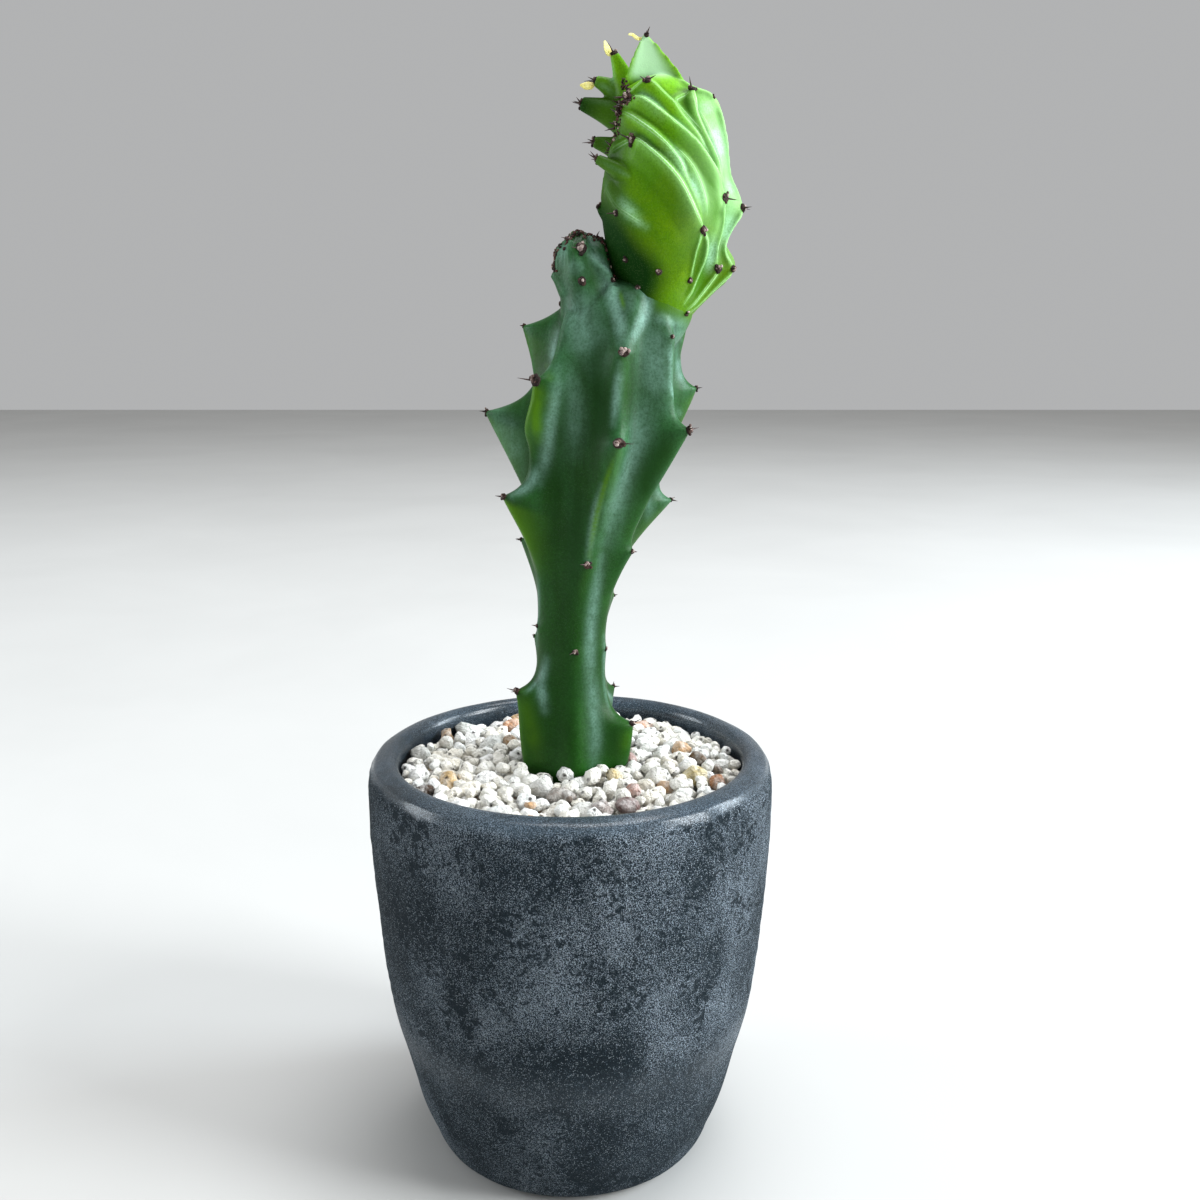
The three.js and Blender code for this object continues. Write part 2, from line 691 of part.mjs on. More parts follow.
function pottingSoil() {
  const bottom = FLOOR_TOP + CLEARANCE;
  const recess = bottom + SCREEN_THICKNESS + CLEARANCE;
  const around = SCREEN_RADIUS + CLEARANCE;
  const profile = [[0, recess], [around, recess], [around, bottom]];
  const wallHeights = [...POT_INSIDE].reverse().map((point) => point[1]);
  for (const height of [bottom, ...wallHeights.slice(1), SOIL_TOP]) {
    if (height <= SOIL_TOP) profile.push([innerRadius(height) - SIDE_CLEARANCE, height]);
  }
  profile.push([0, SOIL_TOP]);
  return solidOf(turned(profile, POT_SEGMENTS)).subtract(stemHole());
}

// Grit is a bed whose top is covered with grains. The grains stand on a jittered grid of six-sided
// cells: each one has a raised crown, six shoulders, and low corners shared with its neighbours.
function gritRelief(random) {
  const rows = 2 * Math.ceil(POT_RADIUS / (GRAIN_SPACING * Math.sqrt(0.75))) + 1;
  const columns = 2 * Math.ceil(POT_RADIUS / GRAIN_SPACING) + 1;
  const positions = [];
  const indices = [];
  const grains = [];
  for (let row = 0; row < rows; row += 1) {
    for (let column = 0; column < columns; column += 1) {
      const shove = [GRAIN_JITTER * (random() - 0.5), GRAIN_JITTER * (random() - 0.5)];
      const x = GRAIN_SPACING * (column - (columns - 1) / 2 + (row % 2) / 2 + shove[0]);
      const y = GRAIN_SPACING * ((row - (rows - 1) / 2) * Math.sqrt(0.75) + shove[1]);
      const mound = GRIT_MOUND * (1 - Math.hypot(x, y) / POT_RADIUS);
      grains.push(new THREE.Vector3(x, y, GRIT_TOP + mound + GRAIN_HEIGHT * (0.6 + 0.5 * random())));
    }
  }
  const grainAt = (row, column) => grains[row * columns + column];
  const around = (row, column) => {
    const shift = row % 2;
    return [[0, 1], [1, shift], [1, shift - 1], [0, -1], [-1, shift - 1], [-1, shift]]
      .map(([up, across]) => grainAt(row + up, column + across));
  };
  const store = (point) => positions.push(...point.toArray()) / 3 - 1;
  const lowCorner = (a, b, c) => {
    const corner = a.clone().add(b).add(c).divideScalar(3);
    return corner.setZ(corner.z - GRAIN_HEIGHT);
  };
  for (let row = 1; row + 1 < rows; row += 1) {
    for (let column = 1; column + 1 < columns; column += 1) {
      const centre = grainAt(row, column);
      const neighbours = around(row, column);
      const corners = neighbours.map((near, i) => lowCorner(centre, near, neighbours[(i + 1) % 6]));
      const shoulders = corners.map((corner) => {
        const shoulder = centre.clone().lerp(corner, 0.66 + 0.12 * random());
        return shoulder.setZ(centre.z - GRAIN_HEIGHT * (0.05 + 0.22 * random()));
      });
      const top = store(centre);
      const ring = shoulders.map(store);
      const rim = corners.map(store);
      for (let i = 0; i < 6; i += 1) {
        const j = (i + 1) % 6;
        indices.push(top, ring[i], ring[j], ring[i], rim[i], rim[j], ring[i], rim[j], ring[j]);
      }
    }
  }
  const sheet = new THREE.BufferGeometry();
  sheet.setAttribute('position', new THREE.Float32BufferAttribute(positions, 3));
  sheet.setIndex(indices);
  return closedBelow(sheet, SOIL_TOP - GRAIN_HEIGHT);
}

function pumiceGrit(random) {
  const gap = SIDE_CLEARANCE;
  const bottom = SOIL_TOP + CLEARANCE;
  const brim = innerRadius(GRIT_TOP) - gap;
  const outside = [[innerRadius(bottom) - gap, bottom], [brim, GRIT_TOP], [brim, POT_HEIGHT]];
  const fill = turned([[0, bottom], ...outside, [0, POT_HEIGHT]], POT_SEGMENTS);
  const bed = solidOf(gritRelief(random)).intersect(solidOf(fill));
  return largestBody(bed.subtract(stemHole()));
}

// Assembly

const random = seededRandom(71);
const stemSolid = joined([stemColumn(), neckBranch()]).subtract(aboveNeck());
const stem = largestBody(joined([stemSolid, ...stub(random), ...stemAreoles(random)]));
const outgrowths = [...FINGERS.map(finger), ...LEAF_TIPS.map(leafTip), ...crestAreoles(random)];
const crest = largestBody(joined([crestBody(), ...outgrowths]));

const group = new THREE.Group();

function place(name, solid, colour, roughness) {
  const material = new THREE.MeshStandardMaterial({ color: colour, roughness, metalness: 0 });
  const mesh = new THREE.Mesh(geometryOf(solid), material);
  mesh.name = name;
  group.add(mesh);
}

place('pot', pot(), COLOURS.pot, 0.85);
place('drain_screen', drainScreen(), COLOURS.screen, 0.6);
place('potting_soil', pottingSoil(), COLOURS.soil, 0.95);
place('pumice_grit', pumiceGrit(random), COLOURS.grit, 0.9);
place('stem', stem, COLOURS.stem, 0.45);
place('crest', crest, COLOURS.crest, 0.4);

export default group;
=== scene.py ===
"""A potted coral cactus: crested euphorbia in a cement pot dressed with pumice grit.

Shapes are worked out in millimetres in the part's own frame: +Z up, -Y front, and the
origin under the middle of the pot. They are turned into metres where a mesh is made.
"""
from math import cos, pi, radians, sin, tau

import bpy
import numpy as np
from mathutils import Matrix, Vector, noise
from mathutils.bvhtree import BVHTree


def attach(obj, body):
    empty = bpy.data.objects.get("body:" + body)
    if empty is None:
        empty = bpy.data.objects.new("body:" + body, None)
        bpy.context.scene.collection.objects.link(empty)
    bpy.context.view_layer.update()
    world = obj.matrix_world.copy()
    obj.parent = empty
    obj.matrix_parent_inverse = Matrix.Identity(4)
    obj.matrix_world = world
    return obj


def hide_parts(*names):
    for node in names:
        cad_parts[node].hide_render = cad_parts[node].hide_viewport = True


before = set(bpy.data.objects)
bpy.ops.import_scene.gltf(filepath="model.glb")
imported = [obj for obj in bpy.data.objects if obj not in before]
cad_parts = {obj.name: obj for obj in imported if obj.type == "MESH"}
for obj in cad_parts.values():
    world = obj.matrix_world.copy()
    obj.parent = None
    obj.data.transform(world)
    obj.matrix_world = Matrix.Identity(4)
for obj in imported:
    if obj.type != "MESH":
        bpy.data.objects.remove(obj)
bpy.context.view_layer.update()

MM = 0.001
SEED = 71

# Camera, as it stood for the photograph
CAMERA_PLACE = (8.8, -345.0, 244.0)
CAMERA_PITCH = 12.2
PHOTO_WIDTH = 1200
FOCAL_PIXELS = 1203
SENSOR_WIDTH = 36.0

# Where the plant lies from the camera, how far beside a surface a pixel may still point, and how
# much lower the crest's back is made than its front
PLANT_DISTANCES = (300, 420)
NEAR_MISS = 3.0
BACK_DROP = 2.5

# Heights that several pieces share
FLOOR_TOP = 12.0
SOIL_TOP = 110.0
GRIT_TOP = 119.6
GRIT_MOUND = 2.6


# Numbers and curves

def smooth_value(pairs, keys):
    """Values at the keys on a smooth curve through the listed (key, value) pairs."""
    at, values = np.array(pairs, float).T
    slopes = np.empty_like(at)
    slopes[1:-1] = (values[2:] - values[:-2]) / (at[2:] - at[:-2])
    slopes[0] = (values[1] - values[0]) / (at[1] - at[0])
    slopes[-1] = (values[-1] - values[-2]) / (at[-1] - at[-2])
    keys = np.clip(np.asarray(keys, float), at[0], at[-1])
    i = np.clip(np.searchsorted(at, keys, side="right") - 1, 0, len(at) - 2)
    span = at[i + 1] - at[i]
    t = (keys - at[i]) / span
    rise = t * t * (3 - 2 * t)
    bend = span * (slopes[i] * t * (1 - t) ** 2 - slopes[i + 1] * t * t * (1 - t))
    return values[i] + (values[i + 1] - values[i]) * rise + bend


def smooth_path(stations, count):
    """Points at equal steps along a smooth curve through the stations."""
    knots = np.array(stations, float)
    if len(knots) == 2:
        return knots[0] + np.linspace(0, 1, count)[:, None] * (knots[1] - knots[0])
    gaps = np.sqrt(np.linalg.norm(np.diff(knots, axis=0), axis=1))
    times = np.concatenate([[0], np.cumsum(gaps)])
    fine = np.linspace(0, times[-1], 12 * count)
    curve = np.stack([smooth_value(np.stack([times, axis], 1), fine) for axis in knots.T], 1)
    steps = np.linalg.norm(np.diff(curve, axis=0), axis=1)
    run = np.concatenate([[0], np.cumsum(steps)])
    even = np.linspace(0, run[-1], count)
    return np.stack([np.interp(even, run, axis) for axis in curve.T], 1)


def unit(vectors):
    """The vectors at length 1."""
    vectors = np.asarray(vectors, float)
    return vectors / np.maximum(np.linalg.norm(vectors, axis=-1, keepdims=True), 1e-9)


def eased(low, high, values):
    """0 below low, 1 above high, and a smooth step between them."""
    t = np.clip((np.asarray(values, float) - low) / (high - low), 0, 1)
    return t * t * (3 - 2 * t)


def hill(gap, width):
    """1 at no gap, and falling off softly over a width."""
    return np.exp(-((gap / width) ** 2))


# Meshes

def skinned(rings, first_pole, last_pole):
    """One closed shell over a stack of rings: its points and its faces, turned outward."""
    rings = np.asarray(rings, float)
    rows, columns = rings.shape[:2]
    points = np.vstack([rings.reshape(-1, 3), [first_pole, last_pole]])
    row, column = np.meshgrid(np.arange(rows - 1), np.arange(columns), indexing="ij")
    here = (row * columns + column).ravel()
    beside = (row * columns + (column + 1) % columns).ravel()
    quads = np.stack([here, beside, beside + columns, here + columns], 1)
    turn = np.arange(columns)
    after = (turn + 1) % columns
    last = (rows - 1) * columns
    first_fan = np.stack([np.full(columns, rows * columns), after, turn], 1)
    last_fan = np.stack([np.full(columns, rows * columns + 1), last + turn, last + after], 1)
    faces = [*quads.tolist(), *first_fan.tolist(), *last_fan.tolist()]
    middle = points.mean(0)
    a, b, c = (points[quads[:, i]] - middle for i in (0, 1, 2))
    if np.einsum("ij,ij->", a, np.cross(b, c)) < 0:
        faces = [face[::-1] for face in faces]
    return points, faces


def turned(profile, columns):
    """A ring-shaped shell: a closed profile of (radius, height) points turned about +Z."""
    profile = np.asarray(profile, float)
    rows = len(profile)
    turn = np.arange(columns) * tau / columns
    rings = np.stack([
        profile[:, :1] * np.cos(turn), profile[:, :1] * np.sin(turn), np.repeat(profile[:, 1:], columns, 1),
    ], -1)
    row, column = np.meshgrid(np.arange(rows), np.arange(columns), indexing="ij")
    here = row * columns + column
    beside = row * columns + (column + 1) % columns
    above = ((row + 1) % rows) * columns
    faces = np.stack([here, beside, above + (column + 1) % columns, above + column], -1)
    return rings.reshape(-1, 3), faces.reshape(-1, 4).tolist()


def limb(stations, across, half_widths, half_depths, rows=28, columns=24):
    """A tapered limb along a curve, with an oval section that is widest along one direction."""
    path = smooth_path(stations, rows)
    along = unit(np.gradient(path, axis=0))
    deep = unit(np.cross(along, unit(across)))
    wide = np.cross(deep, along)
    share = np.linspace(0, 1, rows)
    width = np.interp(share, np.linspace(0, 1, len(half_widths)), half_widths)[:, None, None]
    depth = np.interp(share, np.linspace(0, 1, len(half_depths)), half_depths)[:, None, None]
    turn = (np.arange(columns) * tau / columns)[None, :, None]
    rings = path[:, None] + width * np.cos(turn) * wide[:, None] + depth * np.sin(turn) * deep[:, None]
    return skinned(rings, path[0] - 0.2 * along[0], path[-1] + 0.3 * half_depths[-1] * along[-1])


def mesh_piece(name, shells, smooth=True):
    """A new object made of closed shells, each given as its points in millimetres and its faces."""
    points = []
    faces = []
    for shell_points, shell_faces in shells:
        start = len(points)
        points += (np.asarray(shell_points) * MM).tolist()
        faces += [[start + i for i in face] for face in shell_faces]
    mesh = bpy.data.meshes.new(name)
    mesh.from_pydata(points, [], faces)
    mesh.polygons.foreach_set("use_smooth", [smooth] * len(mesh.polygons))
    piece = bpy.data.objects.new(name, mesh)
    bpy.context.scene.collection.objects.link(piece)
    return piece


def settled(piece):
    """Turns the object's modifiers into its plain mesh."""
    bpy.context.view_layer.update()
    evaluated = piece.evaluated_get(bpy.context.evaluated_depsgraph_get())
    mesh = bpy.data.meshes.new_from_object(evaluated)
    piece.modifiers.clear()
    piece.data = mesh
    return piece


def grown_together(piece, cell):
    """Joins the object's shells into one skin of small even faces, with soft creases."""
    remesh = piece.modifiers.new("skin", "REMESH")
    remesh.mode = "VOXEL"
    remesh.voxel_size = cell * MM
    remesh.use_smooth_shade = True
    relax = piece.modifiers.new("relax", "SMOOTH")
    relax.factor = 0.5
    relax.iterations = 3
    return settled(piece)


def vertex_values(piece, field):
    """Three numbers for each vertex: its place or its normal."""
    flat = np.empty(3 * len(piece.data.vertices), np.float32)
    piece.data.vertices.foreach_get(field, flat)
    return flat.reshape(-1, 3).astype(float)


def points_of(piece):
    """The places of the vertices, in millimetres."""
    return vertex_values(piece, "co") / MM


def normals_of(piece):
    """The outward directions of the vertices."""
    return vertex_values(piece, "normal")


def reshape(piece, points):
    """Moves the vertices to points in millimetres."""
    piece.data.vertices.foreach_set("co", (points * MM).astype(np.float32).ravel())
    piece.data.update()


def store(piece, name, values):
    """Keeps one number for each vertex, for the material to read."""
    layer = piece.data.attributes.new(name, "FLOAT", "POINT")
    layer.data.foreach_set("value", np.asarray(values, np.float32))


def neighbour_mean(piece):
    """A function that gives each vertex the mean of its neighbours' values."""
    edges = np.empty(2 * len(piece.data.edges), np.int32)
    piece.data.edges.foreach_get("vertices", edges)
    a, b = edges.reshape(-1, 2).T
    ends = np.concatenate([a, b])
    others = np.concatenate([b, a])
    count = len(piece.data.vertices)
    share = 1 / np.maximum(np.bincount(ends, minlength=count), 1)

    def mean(values):
        if values.ndim == 1:
            return np.bincount(ends, values[others], count) * share
        return np.stack([mean(axis) for axis in values.T], 1)

    return mean


def ridge_height(piece, rounds):
    """How far each vertex stands proud of the smoothed surface, in millimetres."""
    mean = neighbour_mean(piece)
    points = points_of(piece)
    soft = points.copy()
    for _ in range(rounds):
        soft = 0.5 * (soft + mean(soft))
    height = np.einsum("ij,ij->i", points - soft, normals_of(piece))
    for _ in range(2):
        height = 0.5 * (height + mean(height))
    return height


def surface_of(piece):
    """The piece's surface, ready for rays and nearest points."""
    return BVHTree.FromPolygons(
        [tuple(point) for point in points_of(piece)],
        [tuple(face.vertices) for face in piece.data.polygons],
    )


# Camera

def sight(pixel):
    """The direction in which the camera sees a pixel of the photograph."""
    tilt = radians(CAMERA_PITCH)
    forward = Vector((0, cos(tilt), -sin(tilt)))
    upward = Vector((0, sin(tilt), cos(tilt)))
    half = PHOTO_WIDTH / 2
    across = (pixel[0] - half) / FOCAL_PIXELS
    up = (half - pixel[1]) / FOCAL_PIXELS
    return (forward + Vector((1, 0, 0)) * across + upward * up).normalized()


def seen_on(surface, pixel):
    """The point and the outward direction of a surface under a pixel, or else close beside it."""
    start = Vector(CAMERA_PLACE)
    direction = sight(pixel)
    point, normal, _, _ = surface.ray_cast(start, direction)
    if point is None:
        distances = np.arange(*PLANT_DISTANCES, 0.5)
        near = [surface.find_nearest(start + direction * float(far)) for far in distances]
        point, normal, _, gap = min(near, key=lambda found: found[3])
        if gap > NEAR_MISS:
            raise ValueError(f"pixel {pixel} misses the surface by {gap:.1f} mm")
    return np.array(point), np.array(normal)


def mirrored(points):
    """Points of the plant's front turned over to its back, where the same forms sit a little lower."""
    return points * (1, -1, 1) - (0, 0, BACK_DROP)


def on_surface(surface, points):
    """The nearest points of a surface."""
    return np.array([surface.find_nearest(Vector(point))[0] for point in points])


def make_camera():
    """The camera, as it stood for the photograph."""
    data = bpy.data.cameras.new("camera")
    data.sensor_width = SENSOR_WIDTH
    data.lens = SENSOR_WIDTH * FOCAL_PIXELS / PHOTO_WIDTH
    data.clip_start = 0.01
    camera = bpy.data.objects.new("camera", data)
    camera.location = Vector(CAMERA_PLACE) * MM
    camera.rotation_euler = (radians(90 - CAMERA_PITCH), 0, 0)
    bpy.context.scene.collection.objects.link(camera)
    bpy.context.scene.camera = camera


make_camera()


# Stem

STEM_BOTTOM = 96.0
STEM_TOP = 259.0
STEM_DOME = 3
STEM_COLUMNS = 300
RIB_WIDTH = 4.2
STEM_DEPTH = [(STEM_BOTTOM, 0.9), (232, 0.9), (247, 0.88), (STEM_TOP, 0.88)]

# The stem's centre line, and how far its valleys and its ridges stand from it, all by height
STEM_AXIS = [
    (STEM_BOTTOM, 0.8), (120, 0.8), (154, 0.4), (180, 2.6), (200, 6), (225, 10), (245, 13.6),
    (STEM_TOP, 15.5),
]
CORE_RADIUS = [
    (STEM_BOTTOM, 7), (104, 10.6), (114, 10.6), (120, 11.3), (140, 9.4), (155, 8.9), (170, 9.4), (187, 11),
    (200, 13), (215, 14.6), (230, 15.2), (244, 14.8), (252, 13.2), (255, 11.8), (257, 10.2), (STEM_TOP, 7.5),
]
RIDGE_RADIUS = [
    (STEM_BOTTOM, 7), (104, 10.6), (114, 10.6), (118.5, 14.6), (127, 14.2), (140, 11.2), (152, 10),
    (163, 10.2), (175, 11.8), (187, 14.5), (200, 18.5), (211, 20.6), (225, 21.6), (240, 19.6),
    (250, 17.4), (256, 13.4), (STEM_TOP, 9),
]
TOOTH_FADE = [(114, 0), (120, 1)]

# Each rib climbs the stem: its turn in degrees by height, its teeth as
# (height of the tip, reach past the ridge, fall above the tip, length of the slope below it),
# the share of the common ridge that it stands out, how yellow it is below its teeth,
# and the sizes of the pads on its teeth. A bulge is a soft swelling of the edge, given as
# (height of its middle, size, spread).
NO_BULGE = (0, 0, 1)
RIBS = [
    dict(
        turn=[(118, -88), (182, -80), (217, -76), (241, -83), (STEM_TOP, -69)], share=0.62, glow=0.32,
        teeth=[
            (156, 0.8, 2, 8), (182, 1.4, 2, 12), (216.7, 3.4, 2.8, 20), (240.8, 2, 2.4, 14),
            (257.6, 0.9, 2, 8),
        ],
        pads=[0.7, 0.8, 1.25, 1.2, 0.62],
    ),
    dict(
        turn=[(118, -12), (133, -14), (185, -25), (222, -30), (245, -42)], share=1, glow=0.05,
        teeth=[
            (132.8, 5.8, 2, 20), (155.5, 0.9, 2, 8), (184.9, 2.6, 2, 13), (219.9, 6.6, 2.6, 21),
            (244.8, 1.4, 2.4, 12),
        ],
        pads=[0.85, 0.5, 0.6, 0.95, 0.5],
    ),
    dict(
        turn=[(118, 40), (150, 30), (198, 15), (251, 17)], share=1, glow=0.3,
        teeth=[
            (141, 4, 2.2, 12), (170, 1.4, 2, 10), (198.3, 7.2, 2.4, 20), (230.5, 5.6, 2.4, 19),
            (250.9, 3, 2, 12),
        ],
        pads=[0.6, 0.5, 0.55, 0.6, 0.45],
    ),
    dict(
        turn=[(118, 100), (180, 92), (250, 88)], share=1, glow=0.5,
        teeth=[
            (136, 4.6, 2.2, 12), (162, 1.2, 2, 9), (190, 4, 2.4, 18), (211, 7.4, 2.6, 20),
            (236, 5.4, 2.4, 19),
        ],
        pads=[0.7, 0.5, 0.8, 1, 0.9],
    ),
    dict(
        turn=[(118, 160), (150, 176), (224, 170), (250, 165)], share=1, glow=0.35,
        teeth=[(158.3, 1.4, 2, 9), (187.1, 3.6, 2.2, 16), (223.9, 13.2, 2.8, 25), (247.9, 10.2, 2.6, 18)],
        pads=[0.45, 0.55, 0.72, 0.5],
    ),
    dict(
        turn=[(118, 200), (143, 197), (201, 205), (233, 218), (244, 215), (STEM_TOP, 200)], share=1, glow=1,
        teeth=[(142.9, 6.4, 2.2, 27), (162.3, 0.9, 2, 8), (201.2, 8.6, 2.6, 23), (233.2, 5.2, 2.8, 19)],
        pads=[0.85, 0.5, 0.72, 1.3], bulge=(220, 2.2, 6),
    ),
]


def rib_turn(rib, heights):
    """A rib's direction from the stem's centre line, at each height."""
    return np.radians(smooth_value(rib["turn"], heights))


def rib_reach(rib, heights):
    """How far a rib stands out from the valleys, at each height."""
    reach = np.zeros_like(heights)
    for tip, size, above, below in rib["teeth"]:
        slope = np.clip(1 - (tip - heights) / below, 0, 1) ** 1.25
        rise = np.where(heights > tip, np.exp(np.minimum(tip - heights, 0) / above), slope)
        reach = np.maximum(reach, size * rise)
    height, size, spread = rib.get("bulge", NO_BULGE)
    reach = reach + size * hill(heights - height, spread)
    ridge = smooth_value(RIDGE_RADIUS, heights) - smooth_value(CORE_RADIUS, heights)
    return np.maximum(0, rib["share"] * ridge + reach * smooth_value(TOOTH_FADE, heights))


LADDER_STEP = 0.25
LADDER = np.arange(STEM_BOTTOM - 6, STEM_TOP + 6, LADDER_STEP)
TOOTH_BLUR = 3.0


def reach_ladders():
    """Each rib's reach by height: crisp along its edge, and softened for the flanks beside it."""
    spread = np.arange(-3 * TOOTH_BLUR, 3 * TOOTH_BLUR + 0.1, LADDER_STEP)
    weight = np.exp(-0.5 * (spread / TOOTH_BLUR) ** 2)
    weight /= weight.sum()
    margin = len(weight) // 2
    ladders = []
    for rib in RIBS:
        crisp = rib_reach(rib, LADDER)
        soft = np.convolve(np.pad(crisp, margin, mode="edge"), weight, mode="valid")
        ladders.append((crisp, soft))
    return ladders


REACHES = reach_ladders()


def stem_radius(turns, heights):
    """The stem's radius at each turn about its centre line and each height."""
    core = smooth_value(CORE_RADIUS, heights)
    total = np.zeros(np.broadcast(turns, heights).shape)
    for rib, (crisp, soft) in zip(RIBS, REACHES):
        away = turns - rib_turn(rib, heights)
        across = core * np.abs(np.arctan2(np.sin(away), np.cos(away)))
        aside = eased(0.3, 4.5, across)
        reach = (1 - aside) * np.interp(heights, LADDER, crisp) + aside * np.interp(heights, LADDER, soft)
        total += (reach / (1 + (across / RIB_WIDTH) ** 2) ** 1.4) ** 3
    return core + np.cbrt(total)


def stem_point(turns, heights, extra=0.0):
    """Points of the stem's skin, or of a skin that lies further out."""
    radius = stem_radius(turns, heights) + extra
    x = smooth_value(STEM_AXIS, heights) + radius * np.cos(turns)
    y = smooth_value(STEM_DEPTH, heights) * radius * np.sin(turns)
    return np.stack(np.broadcast_arrays(x, y, heights), -1)


def stem_column():
    """The ribbed stem as one shell, with a low dome at each end."""
    heights = np.arange(STEM_BOTTOM, STEM_TOP + 0.1, 0.5)[:, None]
    turns = (np.arange(STEM_COLUMNS) * tau / STEM_COLUMNS)[None, :]
    rings = stem_point(turns, heights)
    bottom = (STEM_AXIS[0][1], 0, STEM_BOTTOM - STEM_DOME)
    top = (STEM_AXIS[-1][1], 0, STEM_TOP + STEM_DOME)
    return skinned(rings, bottom, top)


# The old crest is a short flat fan. Its levels are height, middle, half width and half depth.
STUB_LEVELS = [
    (238, 7.5, 8, 9), (249, 6.2, 8.4, 9.5), (256, 5.6, 8, 9), (261, 4.9, 8.7, 8.4), (266, 4, 7.7, 7.4),
    (269, 4, 6.6, 5.8), (271, 3.8, 4.6, 2.8),
]
STUB_RIBS = 7


def knob(line, wide, deep):
    """A small limb, by its line and by its half widths and half depths from root to tip."""
    return dict(line=line, wide=wide, deep=deep)


STUB_KNOBS = [
    knob([(2.2, 0, 266), (2.3, -0.4, 270), (2.4, -0.6, 273)], [3.4, 2.8, 1.7], [3.4, 2.6, 1.5]),
    knob([(7.6, 0, 264), (8.6, 0, 268.6), (9.2, 0.4, 271.2)], [3.2, 2.4, 1.4], [3.4, 2.6, 1.4]),
    knob([(-0.4, 0, 262), (-2, 0, 266.4), (-2.6, 0.4, 268.6)], [3.2, 2.2, 1.3], [3.4, 2.8, 1.5]),
    knob([(0.4, -3, 257), (-2.2, -2.4, 260.6), (-3.8, -1.8, 262)], [3.2, 2.4, 1.6], [3.4, 2.4, 1.5]),
    knob([(4.4, -6.2, 266), (9, -6.2, 263), (11.6, -6, 259), (12.6, -7, 254)], [1, 1.7, 1.4], [1, 1.7, 1.4]),
]

# Two low knobs on the stem's shoulder, in front of the new crest's foot
SHOULDER_KNOBS = [
    knob([(10.4, -8, 249), (12, -8.4, 254.5), (12.2, -8, 258)], [3.4, 2.8, 1.6], [3.4, 2.6, 1.4]),
    knob([(18.6, -8.4, 247), (20, -9, 253), (20.4, -8.6, 256.4)], [3.4, 2.8, 1.8], [3.2, 2.4, 1.5]),
]


def limbs(knobs, across):
    """The shells of the knobs, all widest along one direction."""
    return [limb(each["line"], across, each["wide"], each["deep"]) for each in knobs]


def stub_fan():
    """The old crest's body, with low ribs that turn knobbly towards its top."""
    levels = np.array(STUB_LEVELS, float)
    heights = np.linspace(levels[0, 0], levels[-1, 0], 64)
    middle, half_width, half_depth = (smooth_value(levels[:, [0, i]], heights)[:, None] for i in (1, 2, 3))
    turns = (np.arange(120) * tau / 120)[None, :]
    knobbly = eased(252, 268, heights)[:, None]
    rib = 1 + 0.06 * knobbly * np.cos(STUB_RIBS * turns + 0.6 * np.sin(2 * turns))
    rib = rib + 0.06 * eased(262, 270, heights)[:, None] * np.cos(3 * STUB_RIBS * turns + np.sin(5 * turns))
    x = middle + half_width * rib * np.cos(turns)
    y = half_depth * rib * np.sin(turns)
    lift = knobbly * (0.5 * np.sin(3 * turns + 1) + 0.6 * np.sin(8 * turns) + 0.3 * np.sin(17 * turns))
    rings = np.stack(np.broadcast_arrays(x, y, heights[:, None] + lift), -1)
    return skinned(rings, (levels[0, 1], 0, 236), (levels[-1, 1], 0, 273.2))


# The neck is the oval where the dark stem ends and the lime crest starts.
NECK_CENTRE = np.array([24.6, 0, 255])
NECK_TILT = radians(19)
NECK_HALF_WIDTH = 11.0
NECK_HALF_DEPTH = 11.0
NECK_ACROSS = np.array([cos(NECK_TILT), 0, -sin(NECK_TILT)])
NECK_NORMAL = np.array([sin(NECK_TILT), 0, cos(NECK_TILT)])
BACKWARD = np.array([0, 1.0, 0])


def neck_ring(turns, along=0.0, size=1.0, shift=0.0):
    """Points of the neck's oval, or of a larger or smaller one above, below or beside it."""
    turns = np.asarray(turns, float)[..., None]
    oval = NECK_HALF_WIDTH * np.cos(turns) * NECK_ACROSS + NECK_HALF_DEPTH * np.sin(turns) * BACKWARD
    return NECK_CENTRE + size * oval + along * NECK_NORMAL + shift * NECK_ACROSS


# The branch to the neck, by height along its own axis, size of its oval and shift across
BRANCH_LEVELS = [
    (-26, 0.95, -9), (-15, 1.06, -5), (-8, 1.03, -1.5), (-4, 1.015, -0.4), (-1, 0.985, 0), (1.5, 0.9, 0),
    (5, 0.5, 0),
]


def neck_branch():
    """The branch inside the stem that widens out to the neck."""
    levels = np.array(BRANCH_LEVELS)
    along = np.linspace(levels[0, 0], levels[-1, 0], 40)
    sizes = smooth_value(levels[:, :2], along)
    shifts = smooth_value(levels[:, [0, 2]], along)
    turns = np.arange(90) * tau / 90
    rings = [neck_ring(turns, *level) for level in zip(along, sizes, shifts)]
    return skinned(rings, neck_ring(0, -28, 0, -9), neck_ring(0, 5.5, 0))


def above_neck(points):
    """How far points lie above the neck's plane, in millimetres."""
    return (points - NECK_CENTRE) @ NECK_NORMAL


def thorn_slopes(points):
    """1 on a rib's edge close below a thorn, falling to 0 down the slope and away from the edge."""
    heights = np.clip(points[:, 2], STEM_BOTTOM, STEM_TOP)
    x = points[:, 0] - smooth_value(STEM_AXIS, heights)
    y = points[:, 1] / smooth_value(STEM_DEPTH, heights)
    turns = np.arctan2(y, x)
    glow = np.zeros(len(points))
    for rib in RIBS:
        away = turns - rib_turn(rib, heights)
        across = np.hypot(x, y) * np.abs(np.arctan2(np.sin(away), np.cos(away)))
        for tip, size, _, below in rib["teeth"]:
            drop = tip - heights
            edge = hill(across, 0.9 + 0.3 * size)
            fall = eased(-1, 2, drop - 0.8 * across) * eased(1.2 * below, 0.3 * below, drop)
            strength = rib["glow"] * min(1, size / 5) * (0.45 + 0.55 * float(eased(165, 190, tip)))
            glow = np.maximum(glow, strength * edge * fall)
    return glow


